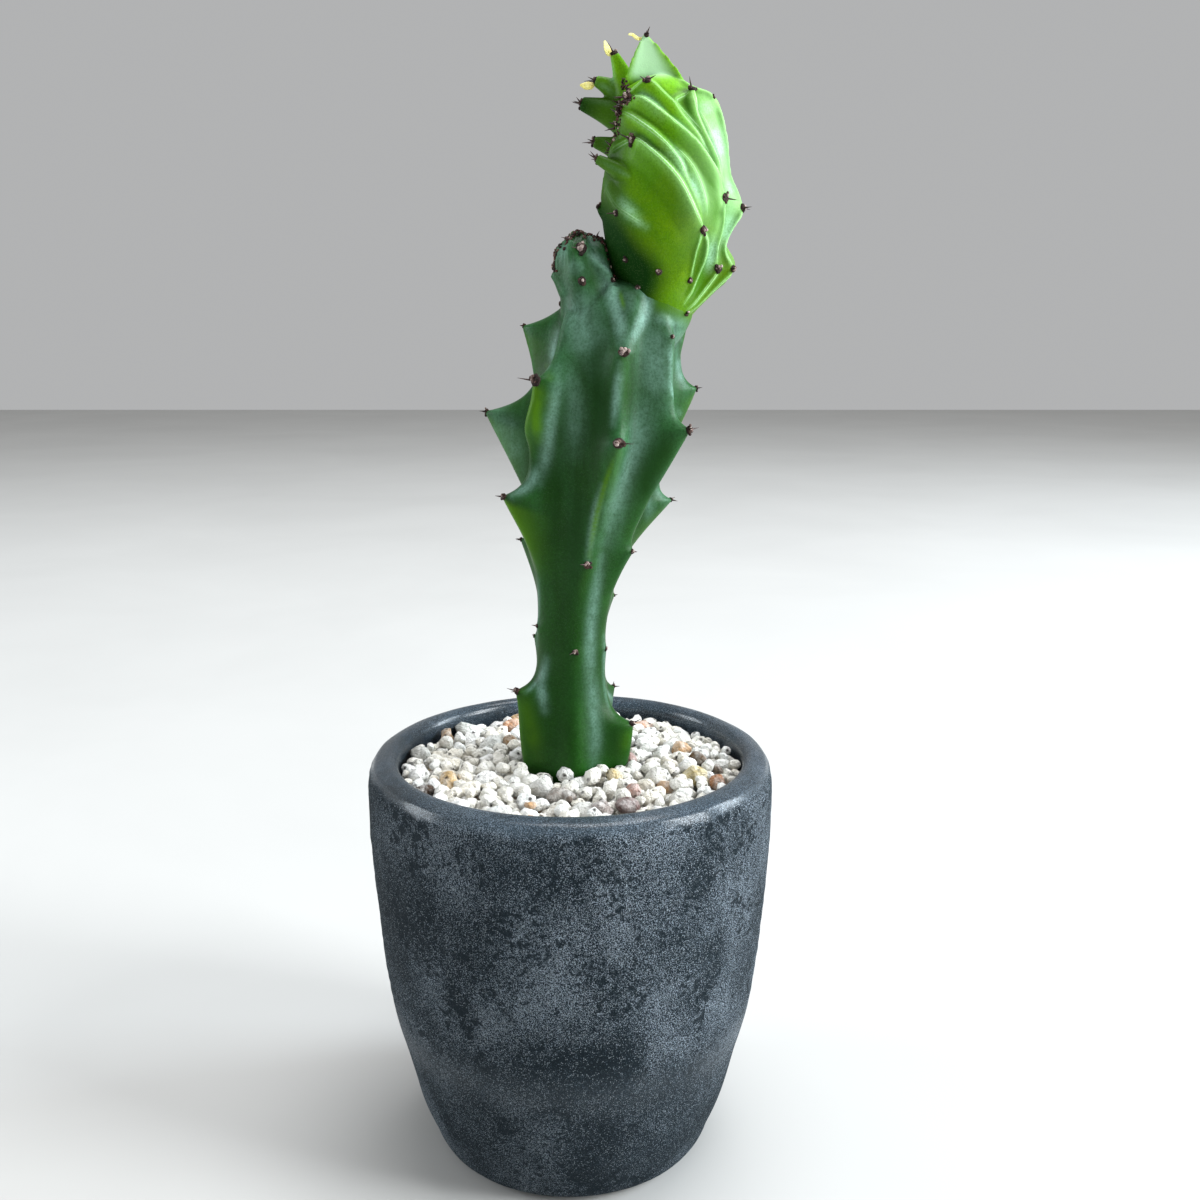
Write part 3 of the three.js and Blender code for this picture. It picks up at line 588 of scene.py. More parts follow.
# Pale bloom on the stem with painted highlights on it, drawn as points of the photograph: half width in
# millimetres and strength
BLOOM_AND_HIGHLIGHT_PLACES = [
    ([(602, 268), (609, 285), (616, 308), (622, 330), (624, 348)], 2.2, 1),
    ([(638, 289), (647, 301), (644, 316), (636, 332), (627, 347)], 2, 1),
    ([(650, 314), (668, 318), (688, 322)], 2.4, 0.75),
    ([(570, 290), (582, 322), (592, 360)], 5.5, 0.6),
    ([(624, 290), (627, 318)], 3.4, 0.55),
    ([(650, 322), (658, 362), (664, 402)], 5, 0.55),
    ([(672, 322), (676, 350)], 3, 0.5),
    ([(620, 364), (617, 390), (613, 424)], 1.2, 1),
    ([(667, 318), (670, 360), (673, 393), (680, 414)], 1.1, 0.9),
    ([(681, 316), (681, 340)], 1, 0.7),
    ([(557, 334), (553, 354), (548, 368)], 1.4, 1),
    ([(559, 368), (556, 396), (551, 424), (546, 455), (538, 482)], 1.8, 0.75),
    ([(540, 466), (528, 486), (512, 495)], 1.5, 0.9),
    ([(602, 486), (594, 519), (588, 560)], 1.1, 0.9),
    ([(650, 396), (640, 430), (622, 484), (606, 540)], 3.8, 0.55),
    ([(566, 360), (572, 400), (574, 450)], 3.6, 0.35),
    ([(588, 250), (601, 262), (613, 276)], 1.8, 1),
    ([(566, 243), (562, 262)], 2.4, 0.7),
    ([(592, 234), (590, 262)], 2, 0.6),
    ([(568, 262), (584, 274)], 2.4, 0.5),
    ([(678, 356), (684, 384)], 1.8, 0.7),
    ([(496, 414), (506, 436), (518, 466)], 4.4, 0.55),
    ([(658, 482), (668, 494)], 2.6, 0.5),
    ([(664, 476), (650, 514)], 2.2, 0.6),
    ([(602, 556), (594, 602), (590, 665), (592, 694)], 1.9, 0.6),
    ([(604, 636), (608, 704)], 1, 0.55),
    ([(538, 580), (537, 644)], 1, 0.55),
    ([(546, 660), (541, 682), (545, 710)], 1.5, 1),
    ([(526, 692), (538, 680)], 1, 0.7),
    ([(606, 690), (618, 704), (630, 712)], 1, 0.7),
    ([(590, 668), (595, 712), (594, 768)], 2.2, 0.5),
]

# Painted shade on the stem: deep green places under the teeth, in the valleys and in creases, drawn in the
# same way
STEM_SHADE_PLACES = [
    ([(680, 434), (664, 452), (652, 474), (640, 508)], 4.6, 1),
    ([(596, 320), (598, 370), (600, 420), (594, 470)], 3, 0.8),
    ([(582, 480), (576, 540), (574, 600)], 2.6, 0.6),
    ([(560, 470), (554, 520), (552, 560)], 2, 0.5),
    ([(566, 380), (564, 420), (560, 450)], 1.6, 0.5),
    ([(630, 540), (618, 570), (610, 600)], 2, 0.6),
    ([(530, 720), (536, 750)], 3, 0.6),
    ([(572, 650), (570, 740)], 2.4, 0.5),
    ([(612, 725), (616, 752)], 3, 0.7),
    ([(575, 268), (600, 282)], 1.8, 0.5),
    ([(618, 286), (625, 302), (630, 322)], 1, 0.6),
]

# Yellow green places on the stem, drawn in the same way
YOUNG_PLACES = [
    ([(618, 450), (609, 472), (601, 498), (595, 522), (589, 556)], 0.8, 0.9),
    ([(539, 390), (535, 412), (537, 440)], 1.9, 0.95),
    ([(546, 366), (550, 378)], 1.2, 0.6),
    ([(520, 692), (528, 722), (536, 756)], 3, 0.5),
    ([(630, 728), (624, 752)], 2.4, 0.25),
    ([(620, 292), (624, 308)], 0.5, 0.8),
]


PLACE_STEPS = 30


def drawn_places(points, surface, places):
    """1 in the middle of the places drawn on a surface and 0 away from them."""
    mark = np.zeros(len(points))
    for line, width, strength in places:
        path = smooth_path([seen_on(surface, pixel)[0] for pixel in line], PLACE_STEPS)
        step, gap = nearest_step(points, path)
        inward = np.minimum(step, PLACE_STEPS - 1 - step) / (PLACE_STEPS - 1)
        tapered = strength * (0.35 + 0.65 * eased(0, 0.3, inward))
        mark = np.maximum(mark, tapered * hill(gap, width))
    return mark


POINTS_AT_ONCE = 20000


def nearest_step(points, path):
    """For each point, the nearest step of a path and how far off it is."""
    steps = np.empty(len(points), int)
    gaps = np.empty(len(points))
    for start in range(0, len(points), POINTS_AT_ONCE):
        part = slice(start, start + POINTS_AT_ONCE)
        away = np.linalg.norm(points[part, None] - path[None], axis=2)
        steps[part] = away.argmin(1)
        gaps[part] = away.min(1)
    return steps, gaps


STEM_CELL = 0.52


def make_stem():
    """The stem, its old crest and its branch as one skin, with the marks that its finish reads."""
    knobs = limbs(STUB_KNOBS + SHOULDER_KNOBS, (1, 0, 0))
    stem = mesh_piece("stem_body", [stem_column(), neck_branch(), stub_fan(), *knobs])
    grown_together(stem, STEM_CELL)
    points = points_of(stem)
    surface = surface_of(stem)
    # pale: the stem's pale bloom with painted highlights
    store(stem, "pale", drawn_places(points, surface, BLOOM_AND_HIGHLIGHT_PLACES))
    # deep: painted shade
    store(stem, "deep", drawn_places(points, surface, STEM_SHADE_PLACES))
    store(stem, "slope", np.maximum(thorn_slopes(points), drawn_places(points, surface, YOUNG_PLACES)))
    store(stem, "ridge", ridge_height(stem, 60))
    x = points[:, 0]
    # youth is the lime skin beside the neck; below 0, between the stub and the crest, it marks painted shade
    side = 1.2 * eased(20, 26, x) - 0.2 * eased(12, 15, x)
    store(stem, "youth", eased(-6, -1, above_neck(points)) * side)
    return stem


# Crest

# Ribs of the crest, in order round it. Each one starts on the growing line at the left, bulges
# outward through its points and ends on the neck's oval at its turn in degrees.
CREST_RIBS = [
    (-180, [(9, -0.5, 282), (9.2, 0, 275), (10.2, 0, 268), (12, 0, 261)]),
    (-128, [(9.3, -2, 285), (11.4, -7.5, 277.5), (13.8, -9.6, 269), (16.8, -8.8, 261)]),
    (-103, [(10.3, -3, 290.5), (15, -9, 286), (20.5, -13, 278.5), (24, -13.8, 270), (23.8, -11.4, 261)]),
    (-84, [
        (12, -4, 296), (18, -9, 296), (25, -13.5, 289.5), (32, -14.5, 280.5), (35, -12.5, 272),
        (31, -10.5, 262),
    ]),
    (-62, [
        (13, -4.5, 301), (17, -8, 302.5), (23.5, -12, 297.5), (30.5, -13, 289), (36, -11.5, 280),
        (36.5, -9.5, 270), (34, -8, 261),
    ]),
    (-42, [
        (14.3, -4.5, 306), (19, -8, 307), (26, -11, 301.5), (33, -11, 295.5), (38.5, -9.5, 287.5),
        (41.5, -8, 279.5), (39.5, -6.5, 268), (37, -5, 260),
    ]),
    (-22, [
        (15.5, -3.5, 309.5), (21, -7.5, 310.8), (28, -9, 305), (35.5, -8.5, 296.5), (40.5, -6, 288),
        (43, -4.5, 279.5), (42, -3.5, 270), (42.5, -2.8, 262),
    ]),
    (0, [
        (18.5, -1.5, 311), (25, -3, 313.4), (33, -2.5, 310.6), (40.4, -1, 307.6), (43, 0, 299),
        (44.4, 0, 288), (48.4, 0, 279), (44, 0, 271), (46.4, 0, 263.5),
    ]),
    (26, [
        (19.5, 1.5, 312.5), (26.5, 5, 313.5), (35.5, 7.5, 306), (41, 8, 294), (42.5, 7.5, 280), (41, 6, 267),
    ]),
    (54, [
        (17, 3.5, 309.5), (22.5, 8.5, 310), (29, 12.5, 303.5), (35, 13, 293), (37.5, 12, 279), (36, 10, 266),
    ]),
    (84, [
        (14, 4.5, 305), (18, 10, 305), (24, 14, 298), (30, 15, 287), (31.5, 14, 274), (30, 11, 263),
    ]),
    (110, [(12, 4, 297), (15, 8.5, 295.5), (20, 13, 288), (24.5, 14, 277.5), (24.5, 12.5, 266)]),
    (136, [(10, 2.8, 288), (12, 8, 279), (15.5, 11, 270), (18, 10.5, 262.5)]),
]
HULL_INSET = 0.6
CREST_ROWS = 200
CREST_STOPS = 22


def crest_hull():
    """The crest's rounded body, without its folds."""
    paths = []
    for turn, stations in CREST_RIBS:
        foot = [neck_ring(radians(turn), -6, 0.9), neck_ring(radians(turn), -0.5, 1.01)]
        paths.append(smooth_path([*foot, *reversed(stations)], CREST_ROWS))
    paths = np.array(paths)
    count = len(paths)
    ribs = np.arange(-3, count + 4)
    wrapped = paths[ribs % count]
    stops = np.arange(count * CREST_STOPS) / CREST_STOPS
    rings = np.empty((CREST_ROWS, len(stops), 3))
    for row in range(CREST_ROWS):
        for axis in range(3):
            rings[row, :, axis] = smooth_value(np.stack([ribs, wrapped[:, row, axis]], 1), stops)
    middle = rings.mean(1, keepdims=True)
    inset = HULL_INSET * np.sin(np.linspace(0, pi, CREST_ROWS))[:, None, None] ** 0.5
    rings -= inset * unit(rings - middle)
    return skinned(rings, neck_ring(0, -6.5, 0), rings[-1].mean(0))


# Top leaf-like tubercle: a hollow-faced blade between its two edges
LEAF_LEFT = [(13.4, -1, 304), (15, -2.4, 311.2), (16, -2.4, 314.4), (17.8, -1.8, 318.8), (20.2, -1, 323.4)]
LEAF_RIGHT = [(34, -1, 304), (31.6, -2.4, 311.6), (28.6, -2, 315.8), (24.6, -1.4, 320.4), (21.2, -1, 323.6)]
LEAF_HOLLOW = 1.3
LEAF_THICKNESS = [8, 6, 4.4, 3, 1.6]


def top_leaf(rows=60, half=24):
    """The leaf as rings that run across its hollow face and return over its back."""
    left = smooth_path(LEAF_LEFT, rows)
    right = smooth_path(LEAF_RIGHT, rows)
    width = np.linalg.norm(right - left, axis=1)
    hollow = LEAF_HOLLOW * width / width[0]
    share = np.linspace(0, 1, len(LEAF_THICKNESS))
    thickness = np.interp(np.linspace(0, 1, rows), share, LEAF_THICKNESS)
    there = np.linspace(0, 1, half, endpoint=False)
    back = np.linspace(1, 0, half, endpoint=False)
    across = np.concatenate([there, back])
    front = np.arange(2 * half) < half
    rings = []
    for row in range(rows):
        line = left[row] + across[:, None] * (right[row] - left[row])
        bow = 4 * across * (1 - across)
        depth = np.where(front, hollow[row] * bow, (hollow[row] + thickness[row]) * bow)
        rings.append(line + depth[:, None] * BACKWARD)
    return skinned(rings, rings[0].mean(0), rings[-1].mean(0))


def leaf_middle(points):
    """1 in the middle of the top leaf's face and 0 at its edges and off it."""
    heights = points[:, 2]
    left = np.interp(heights, *np.array(LEAF_LEFT)[:, [2, 0]].T)
    right = np.interp(heights, *np.array(LEAF_RIGHT)[:, [2, 0]].T)
    share = (points[:, 0] - left) / np.maximum(right - left, 0.5)
    return eased(0, 0.2, share) * eased(0.98, 0.6, share) * eased(311, 314, heights)


# Finger tubercles at the growing line, each by its centre line from root to tip
FINGERS = [
    knob([(16.5, 3, 309), (14.4, 2.8, 315), (12.6, 2.6, 319.2)], [3.6, 2.6, 1.2], [3.4, 2.2, 1.1]),
    knob([(16, 4.5, 308), (11.6, 4.4, 311), (7.6, 4, 312.8)], [3.4, 2.7, 1.4], [3.4, 2.4, 1.3]),
    knob([(17, 4, 302.6), (10, 4.4, 305.2), (3.8, 4, 306.9)], [5.4, 3.5, 1.8], [4.4, 3, 1.6]),
    knob([(16, 3, 294), (11.4, 3.2, 295.8), (7.2, 3, 296.9)], [4, 2.6, 1.5], [3.8, 2.4, 1.4]),
    knob([(20, -9, 284), (14, -7, 288), (8.2, -4.4, 291.4)], [1.4, 2.3, 1.3], [2, 2.2, 1.3]),
    knob([(30.5, -4, 297), (32.4, -5.4, 303.6), (33.2, -6, 308.8)], [4.2, 2.6, 0.6], [3.6, 2.4, 0.6]),
    knob([(13, -1, 276.5), (10.4, -0.8, 278.2), (8.7, -0.6, 279.6)], [3, 2.4, 1.2], [3, 2.2, 1.1]),
]
UPRIGHT = (0.2, 0, 1)


def fold(line, rise, above, below, shade=1):
    """A fold, by its rise, the widths of its flanks above and below it, and how dark the painted shade on
    its flank is.
    """
    return dict(line=line, rise=rise, above=above, below=below, shade=shade)


# Folds of the crest's face, drawn as points of the photograph from the growing line outward
FACE_FOLDS = [
    fold([
        (649, 80), (660, 91), (673, 104), (682, 117), (692, 129), (700, 141), (706, 152),
    ], 1.1, 1.2, 3, 0.4),
    fold([(626, 97), (633, 91), (640, 85), (647, 80)], 0.8, 1.2, 1.6),
    fold([
        (630, 98), (644, 100), (660, 112), (673, 123), (686, 134), (696, 144), (705, 157), (714, 173),
        (724, 195),
    ], 1.8, 1.2, 3.6, 0.35),
    fold([
        (624, 113), (634, 118), (649, 129), (660, 139), (670, 150), (679, 163), (687, 179),
    ], 1.35, 1.6, 3.4, 0.3),
    fold([
        (632, 138), (642, 142), (655, 153), (667, 165), (678, 179), (686, 193), (694, 211), (702, 229),
    ], 2.1, 1.2, 6, 0.35),
    fold([(631, 140), (622, 145), (612, 151)], 1.2, 0.8, 2),
    fold([(676, 149), (690, 164), (698, 179), (704, 198), (706, 214)], 0.55, 1.6, 2.8, 0.1),
    fold([(692, 90), (694, 110), (703, 134), (715, 160), (721, 178)], 1.5, 1.6, 3.2),
    fold([(692, 90), (684, 95), (675, 101), (686, 116), (698, 132)], 0.6, 1, 1.4),
    fold([(698, 110), (711, 134), (720, 160), (722, 180)], 0.25, 1.4, 1.4, 0),
    fold([(679, 80), (694, 89), (708, 94), (716, 102)], 0.8, 1.4, 1.8),
    fold([(716, 102), (722, 123), (726, 150), (729, 169), (735, 185), (743, 205)], 1, 1, 2),
    fold([(724, 200), (722, 211), (721, 225), (716, 247), (716, 264)], 1.1, 1, 1.8),
    fold([(743, 209), (735, 222), (726, 238), (724, 252), (732, 268)], 1, 1, 1.6),
    fold([(733, 271), (724, 279), (711, 291), (699, 303), (688, 313)], 0.8, 1.4, 1.6),
    fold([(718, 270), (708, 284), (696, 299), (687, 309)], 0.8, 1.2, 1.4),
    fold([(703, 231), (706, 244), (702, 263), (692, 287), (684, 302)], 1, 1.2, 1.6),
    fold([(701, 231), (696, 250), (692, 266), (690, 279)], 0.7, 0.8, 1.4),
    fold([(606, 186), (611, 197), (618, 208), (629, 216), (641, 224)], 0.9, 3, 3),
]
FOLD_STEPS = 60
FAR_FROM_FOLDS = 6.0
BACK_STARTS = 5.0


def fold_paths(surface):
    """The folds of the face as paths on the crest, then the same folds turned over to its back."""
    paths = []
    for each in FACE_FOLDS:
        pins = [seen_on(surface, pixel)[0] for pixel in each["line"]]
        path = on_surface(surface, smooth_path(pins, FOLD_STEPS))
        paths.append((path, each))
        back = mirrored(path)
        if back[:, 1].max() > BACK_STARTS:
            paths.append((on_surface(surface, back), dict(each, above=each["below"], below=each["above"])))
    return paths


def fold_marks(points, normals, paths):
    """Marks of the folds at each point: lift, distance across the nearest fold, a painted highlight along
    the fold, and painted shade on its flank and in its crease.
    """
    lift = np.zeros(len(points))
    fold_highlight = np.zeros(len(points))
    dark = np.zeros(len(points))
    across = np.full(len(points), FAR_FROM_FOLDS)
    for path, each in paths:
        above, below, rise, shade = each["above"], each["below"], each["rise"], each["shade"]
        along = unit(np.gradient(path, axis=0))
        step, gap = nearest_step(points, path)
        side = np.einsum("ij,ij->i", np.cross(along[step], normals), points - path[step])
        under = side > 0
        share = step / (FOLD_STEPS - 1)
        fade = eased(0, 0.12, share) * eased(0, 0.2, 1 - share) * 0.75 + 0.25
        strength = fade * min(1, 0.3 + 0.45 * rise)
        flank_width = np.where(under, below, above)
        lift = np.maximum(lift, fade * rise * np.clip(1 - gap / flank_width, 0, 1) ** 1.15)
        # Painted highlight: a pale line on the fold and a sheen on its lower flank
        line = hill(np.where(under, 2.6 * gap, gap - 0.3), 0.55)
        sheen = 0.6 * hill(gap, 0.24 * below)
        fold_highlight = np.maximum(fold_highlight, strength * np.where(under, np.maximum(line, sheen), line))
        # Painted shade on the flank below the fold and in the crease above it
        flank = shade * hill(gap - 0.48 * below, 0.3 * below)
        crease = min(0.7, 2 * shade) * hill(gap - above - 0.2, 0.4)
        dark = np.maximum(dark, strength * np.where(under, flank, crease))
        across = np.where(gap < np.abs(across), np.where(under, gap, -gap), across)
    return lift, across, fold_highlight, dark * (1 - fold_highlight)


# Painted highlights of the face: pale mint places drawn as points of the photograph, with half width in
# millimetres and strength
MINT_HIGHLIGHT_PLACES = [
    ([(604, 180), (609, 192), (616, 203)], 1, 0.8),
    ([(614, 197), (624, 207), (636, 219)], 1.7, 1),
    ([(619, 210), (631, 217), (646, 227)], 1.1, 0.6),
    ([(601, 160), (612, 167), (628, 176)], 0.6, 0.6),
    ([(667, 147), (677, 159), (686, 176)], 1.4, 1),
    ([(703, 100), (710, 116)], 2.4, 0.55),
    ([(712, 126), (718, 142), (722, 160)], 2.6, 1),
    ([(731, 212), (728, 228), (724, 242)], 2, 0.7),
    ([(642, 95), (654, 107), (663, 117)], 1.3, 0.8),
    ([(672, 120), (682, 130), (690, 141)], 0.9, 0.8),
    ([(690, 170), (700, 190), (704, 208)], 1.1, 0.6),
    ([(727, 180), (733, 195)], 1.6, 0.7),
    ([(606, 62), (609, 73), (612, 84)], 0.9, 0.7),
    ([(597, 84), (606, 88), (613, 94)], 0.8, 0.5),
    ([(587, 102), (600, 102), (613, 105)], 0.9, 0.6),
    ([(602, 142), (610, 144)], 0.8, 0.4),
    ([(713, 240), (711, 256), (709, 268)], 1.6, 0.8),
    ([(690, 176), (700, 200)], 1.3, 0.8),
]

# Painted shade on the face: deeper green places, drawn in the same way
SHADE_PLACES = [
    ([(705, 170), (712, 188), (717, 205), (713, 228)], 1.5, 0.8),
    ([(706, 264), (700, 284), (692, 300)], 1.6, 0.8),
    ([(654, 262), (650, 274), (654, 290)], 2, 0.7),
    ([(634, 166), (648, 184), (664, 206)], 2.4, 0.45),
    ([(690, 100), (693, 118), (700, 132)], 1, 0.7),
]

# Left of this edge the crest is dark, partly skin as dark as the stem's and partly painted shade: how far
# right it lies, by height
FOOT_SKIN_AND_SHADE_EDGE = [
    (250, 22), (254, 23.2), (259, 25), (263, 24.6), (267.4, 20.6), (272.7, 16.4), (279, 11), (284, 6.5),
]
FOOT_BLUR = 4.2
CREST_CELL = 0.4


def crest_foot_skin_and_shade(points):
    """1 at the crest's dark foot, partly its own darker skin and partly painted shade, and 0 where its lime
    skin begins.
    """
    beyond = points[:, 0] - smooth_value(FOOT_SKIN_AND_SHADE_EDGE, points[:, 2])
    return eased(FOOT_BLUR, -FOOT_BLUR, beyond)


def make_crest():
    """The crest as one skin raised along its folds, with the marks that its finish reads."""
    crest = mesh_piece("crest_body", [crest_hull(), top_leaf(), *limbs(FINGERS, UPRIGHT)])
    grown_together(crest, CREST_CELL)
    points = points_of(crest)
    normals = normals_of(crest)
    surface = surface_of(crest)
    lift, across, fold_highlight, dark = fold_marks(points, normals, fold_paths(surface))
    mean = neighbour_mean(crest)
    for _ in range(2):
        lift = 0.5 * (lift + mean(lift))
    points = points + lift[:, None] * normals
    reshape(crest, points)
    store(crest, "across", across)
    # A painted highlight along each fold
    store(crest, "fold_highlight", fold_highlight)
    # dark: painted shade on the folds' flanks and in their creases
    store(crest, "dark", dark)
    # mint: painted highlights
    store(crest, "mint", drawn_places(points, surface, MINT_HIGHLIGHT_PLACES))
    store(crest, "shade", drawn_places(points, surface, SHADE_PLACES))
    store(crest, "ridge", ridge_height(crest, 40))
    store(crest, "foot", crest_foot_skin_and_shade(points))
    # old: painted shade on the fingers at the left
    store(crest, "old", eased(18, 12.5, points[:, 0]) * eased(316, 308, points[:, 2]))
    # leaf: painted highlight in the middle of the top leaf's hollow face
    store(crest, "leaf", leaf_middle(points))
    return crest


# Node trees

class Nodes:
    """Adds nodes to one tree. An input given as a socket is linked, and any other is set."""

    def __init__(self, tree):
        self.tree = tree

    def add(self, kind, inputs=None, **settings):
        node = self.tree.nodes.new(kind)
        for name, value in settings.items():
            setattr(node, name, value)
        for key, value in (inputs or {}).items():
            if isinstance(value, bpy.types.NodeSocket):
                self.tree.links.new(value, node.inputs[key])
            else:
                node.inputs[key].default_value = value
        return node

    def math(self, operation, *values, clamp=False):
        inputs = dict(enumerate(values))
        return self.add("ShaderNodeMath", inputs, operation=operation, use_clamp=clamp).outputs[0]

    def times(self, *factors):
        product = factors[0]
        for factor in factors[1:]:
            product = self.math("MULTIPLY", product, factor)
        return product

    def plus(self, *parts):
        total = parts[0]
        for part in parts[1:]:
            total = self.math("ADD", total, part)
        return total

    def minus(self, whole, part):
        return self.math("SUBTRACT", whole, part)

    def attribute(self, name, kind="FLOAT_VECTOR"):
        """A point's own attribute, in a geometry tree."""
        inputs = {"Name": name}
        return self.add("GeometryNodeInputNamedAttribute", inputs, data_type=kind).outputs["Attribute"]

    def shoved(self, geometry, direction, amount):
        """The geometry with its points moved along a direction by an amount."""
        inputs = {0: direction, "Scale": amount}
        shove = self.add("ShaderNodeVectorMath", inputs, operation="SCALE").outputs[0]
        return self.add("GeometryNodeSetPosition", {"Geometry": geometry, "Offset": shove}).outputs[0]

    def finished(self, geometry, material):
        """The geometry shaded smooth and given its material."""
        soft = self.add("GeometryNodeSetShadeSmooth", {"Geometry": geometry}).outputs[0]
        return self.add("GeometryNodeSetMaterial", {"Geometry": soft, "Material": material}).outputs[0]


GEOMETRY = "NodeSocketGeometry"
VECTOR = "NodeSocketVector"
NUMBER = "NodeSocketFloat"
WHOLE_NUMBER = "NodeSocketInt"
MATERIAL = "NodeSocketMaterial"


def new_tree(name, kind, inputs, outputs):
    """An empty node tree with its sockets, each input given by its name, kind and value or None."""
    tree = bpy.data.node_groups.new(name, kind)
    for label, socket_kind, value in inputs:
        socket = tree.interface.new_socket(label, in_out="INPUT", socket_type=socket_kind)
        if value is not None:
            socket.default_value = value
    for label, socket_kind in outputs:
        tree.interface.new_socket(label, in_out="OUTPUT", socket_type=socket_kind)
    return tree


# Lumps and spines on points

def lumps_tree():
    """Sets an uneven lump on each point, sized, turned and tinted by the point's own attributes."""
    tree = new_tree("lumps_on_points", "GeometryNodeTree", [
        ("Points", GEOMETRY, None), ("Fineness", WHOLE_NUMBER, 2), ("Unevenness", NUMBER, 0.3),
        ("Bump Size", NUMBER, 0.004), ("Seed", NUMBER, SEED / 10), ("Material", MATERIAL, None),
    ], [("Lumps", GEOMETRY)])
    nodes = Nodes(tree)
    given = nodes.add("NodeGroupInput").outputs
    ball = nodes.add("GeometryNodeMeshIcoSphere", {"Radius": 1.0, "Subdivisions": given["Fineness"]})
    rotation = nodes.add("FunctionNodeEulerToRotation", {0: nodes.attribute("turn")})
    placed = nodes.add("GeometryNodeInstanceOnPoints", {
        "Points": given["Points"], "Instance": ball.outputs["Mesh"], "Rotation": rotation.outputs[0],
        "Scale": nodes.attribute("size"),
    })
    real = nodes.add("GeometryNodeRealizeInstances", {"Geometry": placed.outputs[0]})
    place = nodes.add("GeometryNodeInputPosition")
    scale = nodes.math("DIVIDE", 1.0, given["Bump Size"])
    bumps = nodes.add("ShaderNodeTexNoise", {
        "Vector": place.outputs[0], "W": given["Seed"], "Scale": scale, "Detail": 1.0,
    }, noise_dimensions="4D")
    length = nodes.add("ShaderNodeVectorMath", {0: nodes.attribute("size")}, operation="LENGTH")
    push = nodes.times(nodes.minus(bumps.outputs[0], 0.5), given["Unevenness"], length.outputs["Value"])
    normal = nodes.add("GeometryNodeInputNormal").outputs[0]
    uneven = nodes.shoved(real.outputs[0], normal, push)
    nodes.add("NodeGroupOutput", {"Lumps": nodes.finished(uneven, given["Material"])})
    return tree


def spines_tree():
    """Sets a tapered, slightly bent spine on each point, aimed by the point's own attributes."""
    tree = new_tree("spines_on_points", "GeometryNodeTree", [
        ("Points", GEOMETRY, None), ("Root Radius", NUMBER, 0.0004), ("Material", MATERIAL, None),
    ], [("Spines", GEOMETRY)])
    nodes = Nodes(tree)
    given = nodes.add("NodeGroupInput").outputs
    cone = nodes.add("GeometryNodeMeshCone", {
        "Vertices": 6, "Side Segments": 4, "Radius Top": 0.12, "Radius Bottom": 1.0, "Depth": 1.0,
    })
    local = nodes.add("GeometryNodeInputPosition")
    part = nodes.add("ShaderNodeSeparateXYZ", {0: local.outputs[0]})
    marked = nodes.add("GeometryNodeStoreNamedAttribute", {
        "Geometry": cone.outputs["Mesh"], "Name": "along", "Value": part.outputs["Z"],
    }, data_type="FLOAT", domain="POINT")
    aim = nodes.attribute("aim")
    turned_to = nodes.add("FunctionNodeAlignRotationToVector", {"Vector": aim}, axis="Z")
    length = nodes.add("ShaderNodeVectorMath", {0: aim}, operation="LENGTH")
    scale = nodes.add("ShaderNodeCombineXYZ", {
        "X": given["Root Radius"], "Y": given["Root Radius"], "Z": length.outputs["Value"],
    })
    placed = nodes.add("GeometryNodeInstanceOnPoints", {
        "Points": given["Points"], "Instance": marked.outputs[0], "Rotation": turned_to.outputs[0],
        "Scale": scale.outputs[0],
    })
    real = nodes.add("GeometryNodeRealizeInstances", {"Geometry": placed.outputs[0]})
    along = nodes.math("MAXIMUM", nodes.attribute("along", "FLOAT"), 0.0)
    bent = nodes.shoved(real.outputs[0], nodes.attribute("bend"), nodes.math("POWER", along, 2.0))
    nodes.add("NodeGroupOutput", {"Spines": nodes.finished(bent, given["Material"])})
    return tree


LUMPS = lumps_tree()
SPINES = spines_tree()


def grown_on_points(name, places, attributes, tree, **inputs):
    """A piece that the node tree makes on the places, given in millimetres, with their attributes."""
    mesh = bpy.data.meshes.new(name)
    mesh.from_pydata((np.asarray(places) * MM).tolist(), [], [])
    for key, values in attributes.items():
        values = np.asarray(values, np.float32)
        kind, field = ("FLOAT_COLOR", "color") if values.shape[1] == 4 else ("FLOAT_VECTOR", "vector")
        mesh.attributes.new(key, kind, "POINT").data.foreach_set(field, values.ravel())
    piece = bpy.data.objects.new(name, mesh)
    bpy.context.scene.collection.objects.link(piece)
    modifier = piece.modifiers.new(tree.name, "NODES")
    modifier.node_group = tree
    sockets = {item.name: item.identifier for item in tree.interface.items_tree if item.in_out == "INPUT"}
    for key, value in inputs.items():
        modifier[sockets[key.replace("_", " ").title()]] = value
    return settled(piece)


# Grit

GRAIN_RADIUS = (1.5, 3.1)
GRIT_RADIUS = 51.2
GRIT_BOTTOM = SOIL_TOP + 0.2
STEM_GAP = 0.4
STEM_MEETS_GRIT = 117.0
NESTLING = 0.84
TRIES = 36
MOST_GRAINS = 1500

# Half a grain's height as a share of its radius, and how far a marked grain and any other one may
# stand above the mound
GRAIN_HALF_HEIGHT = 0.8
MARKED_GRAIN_RISE = 0.6
GRAIN_RISE = 0.8

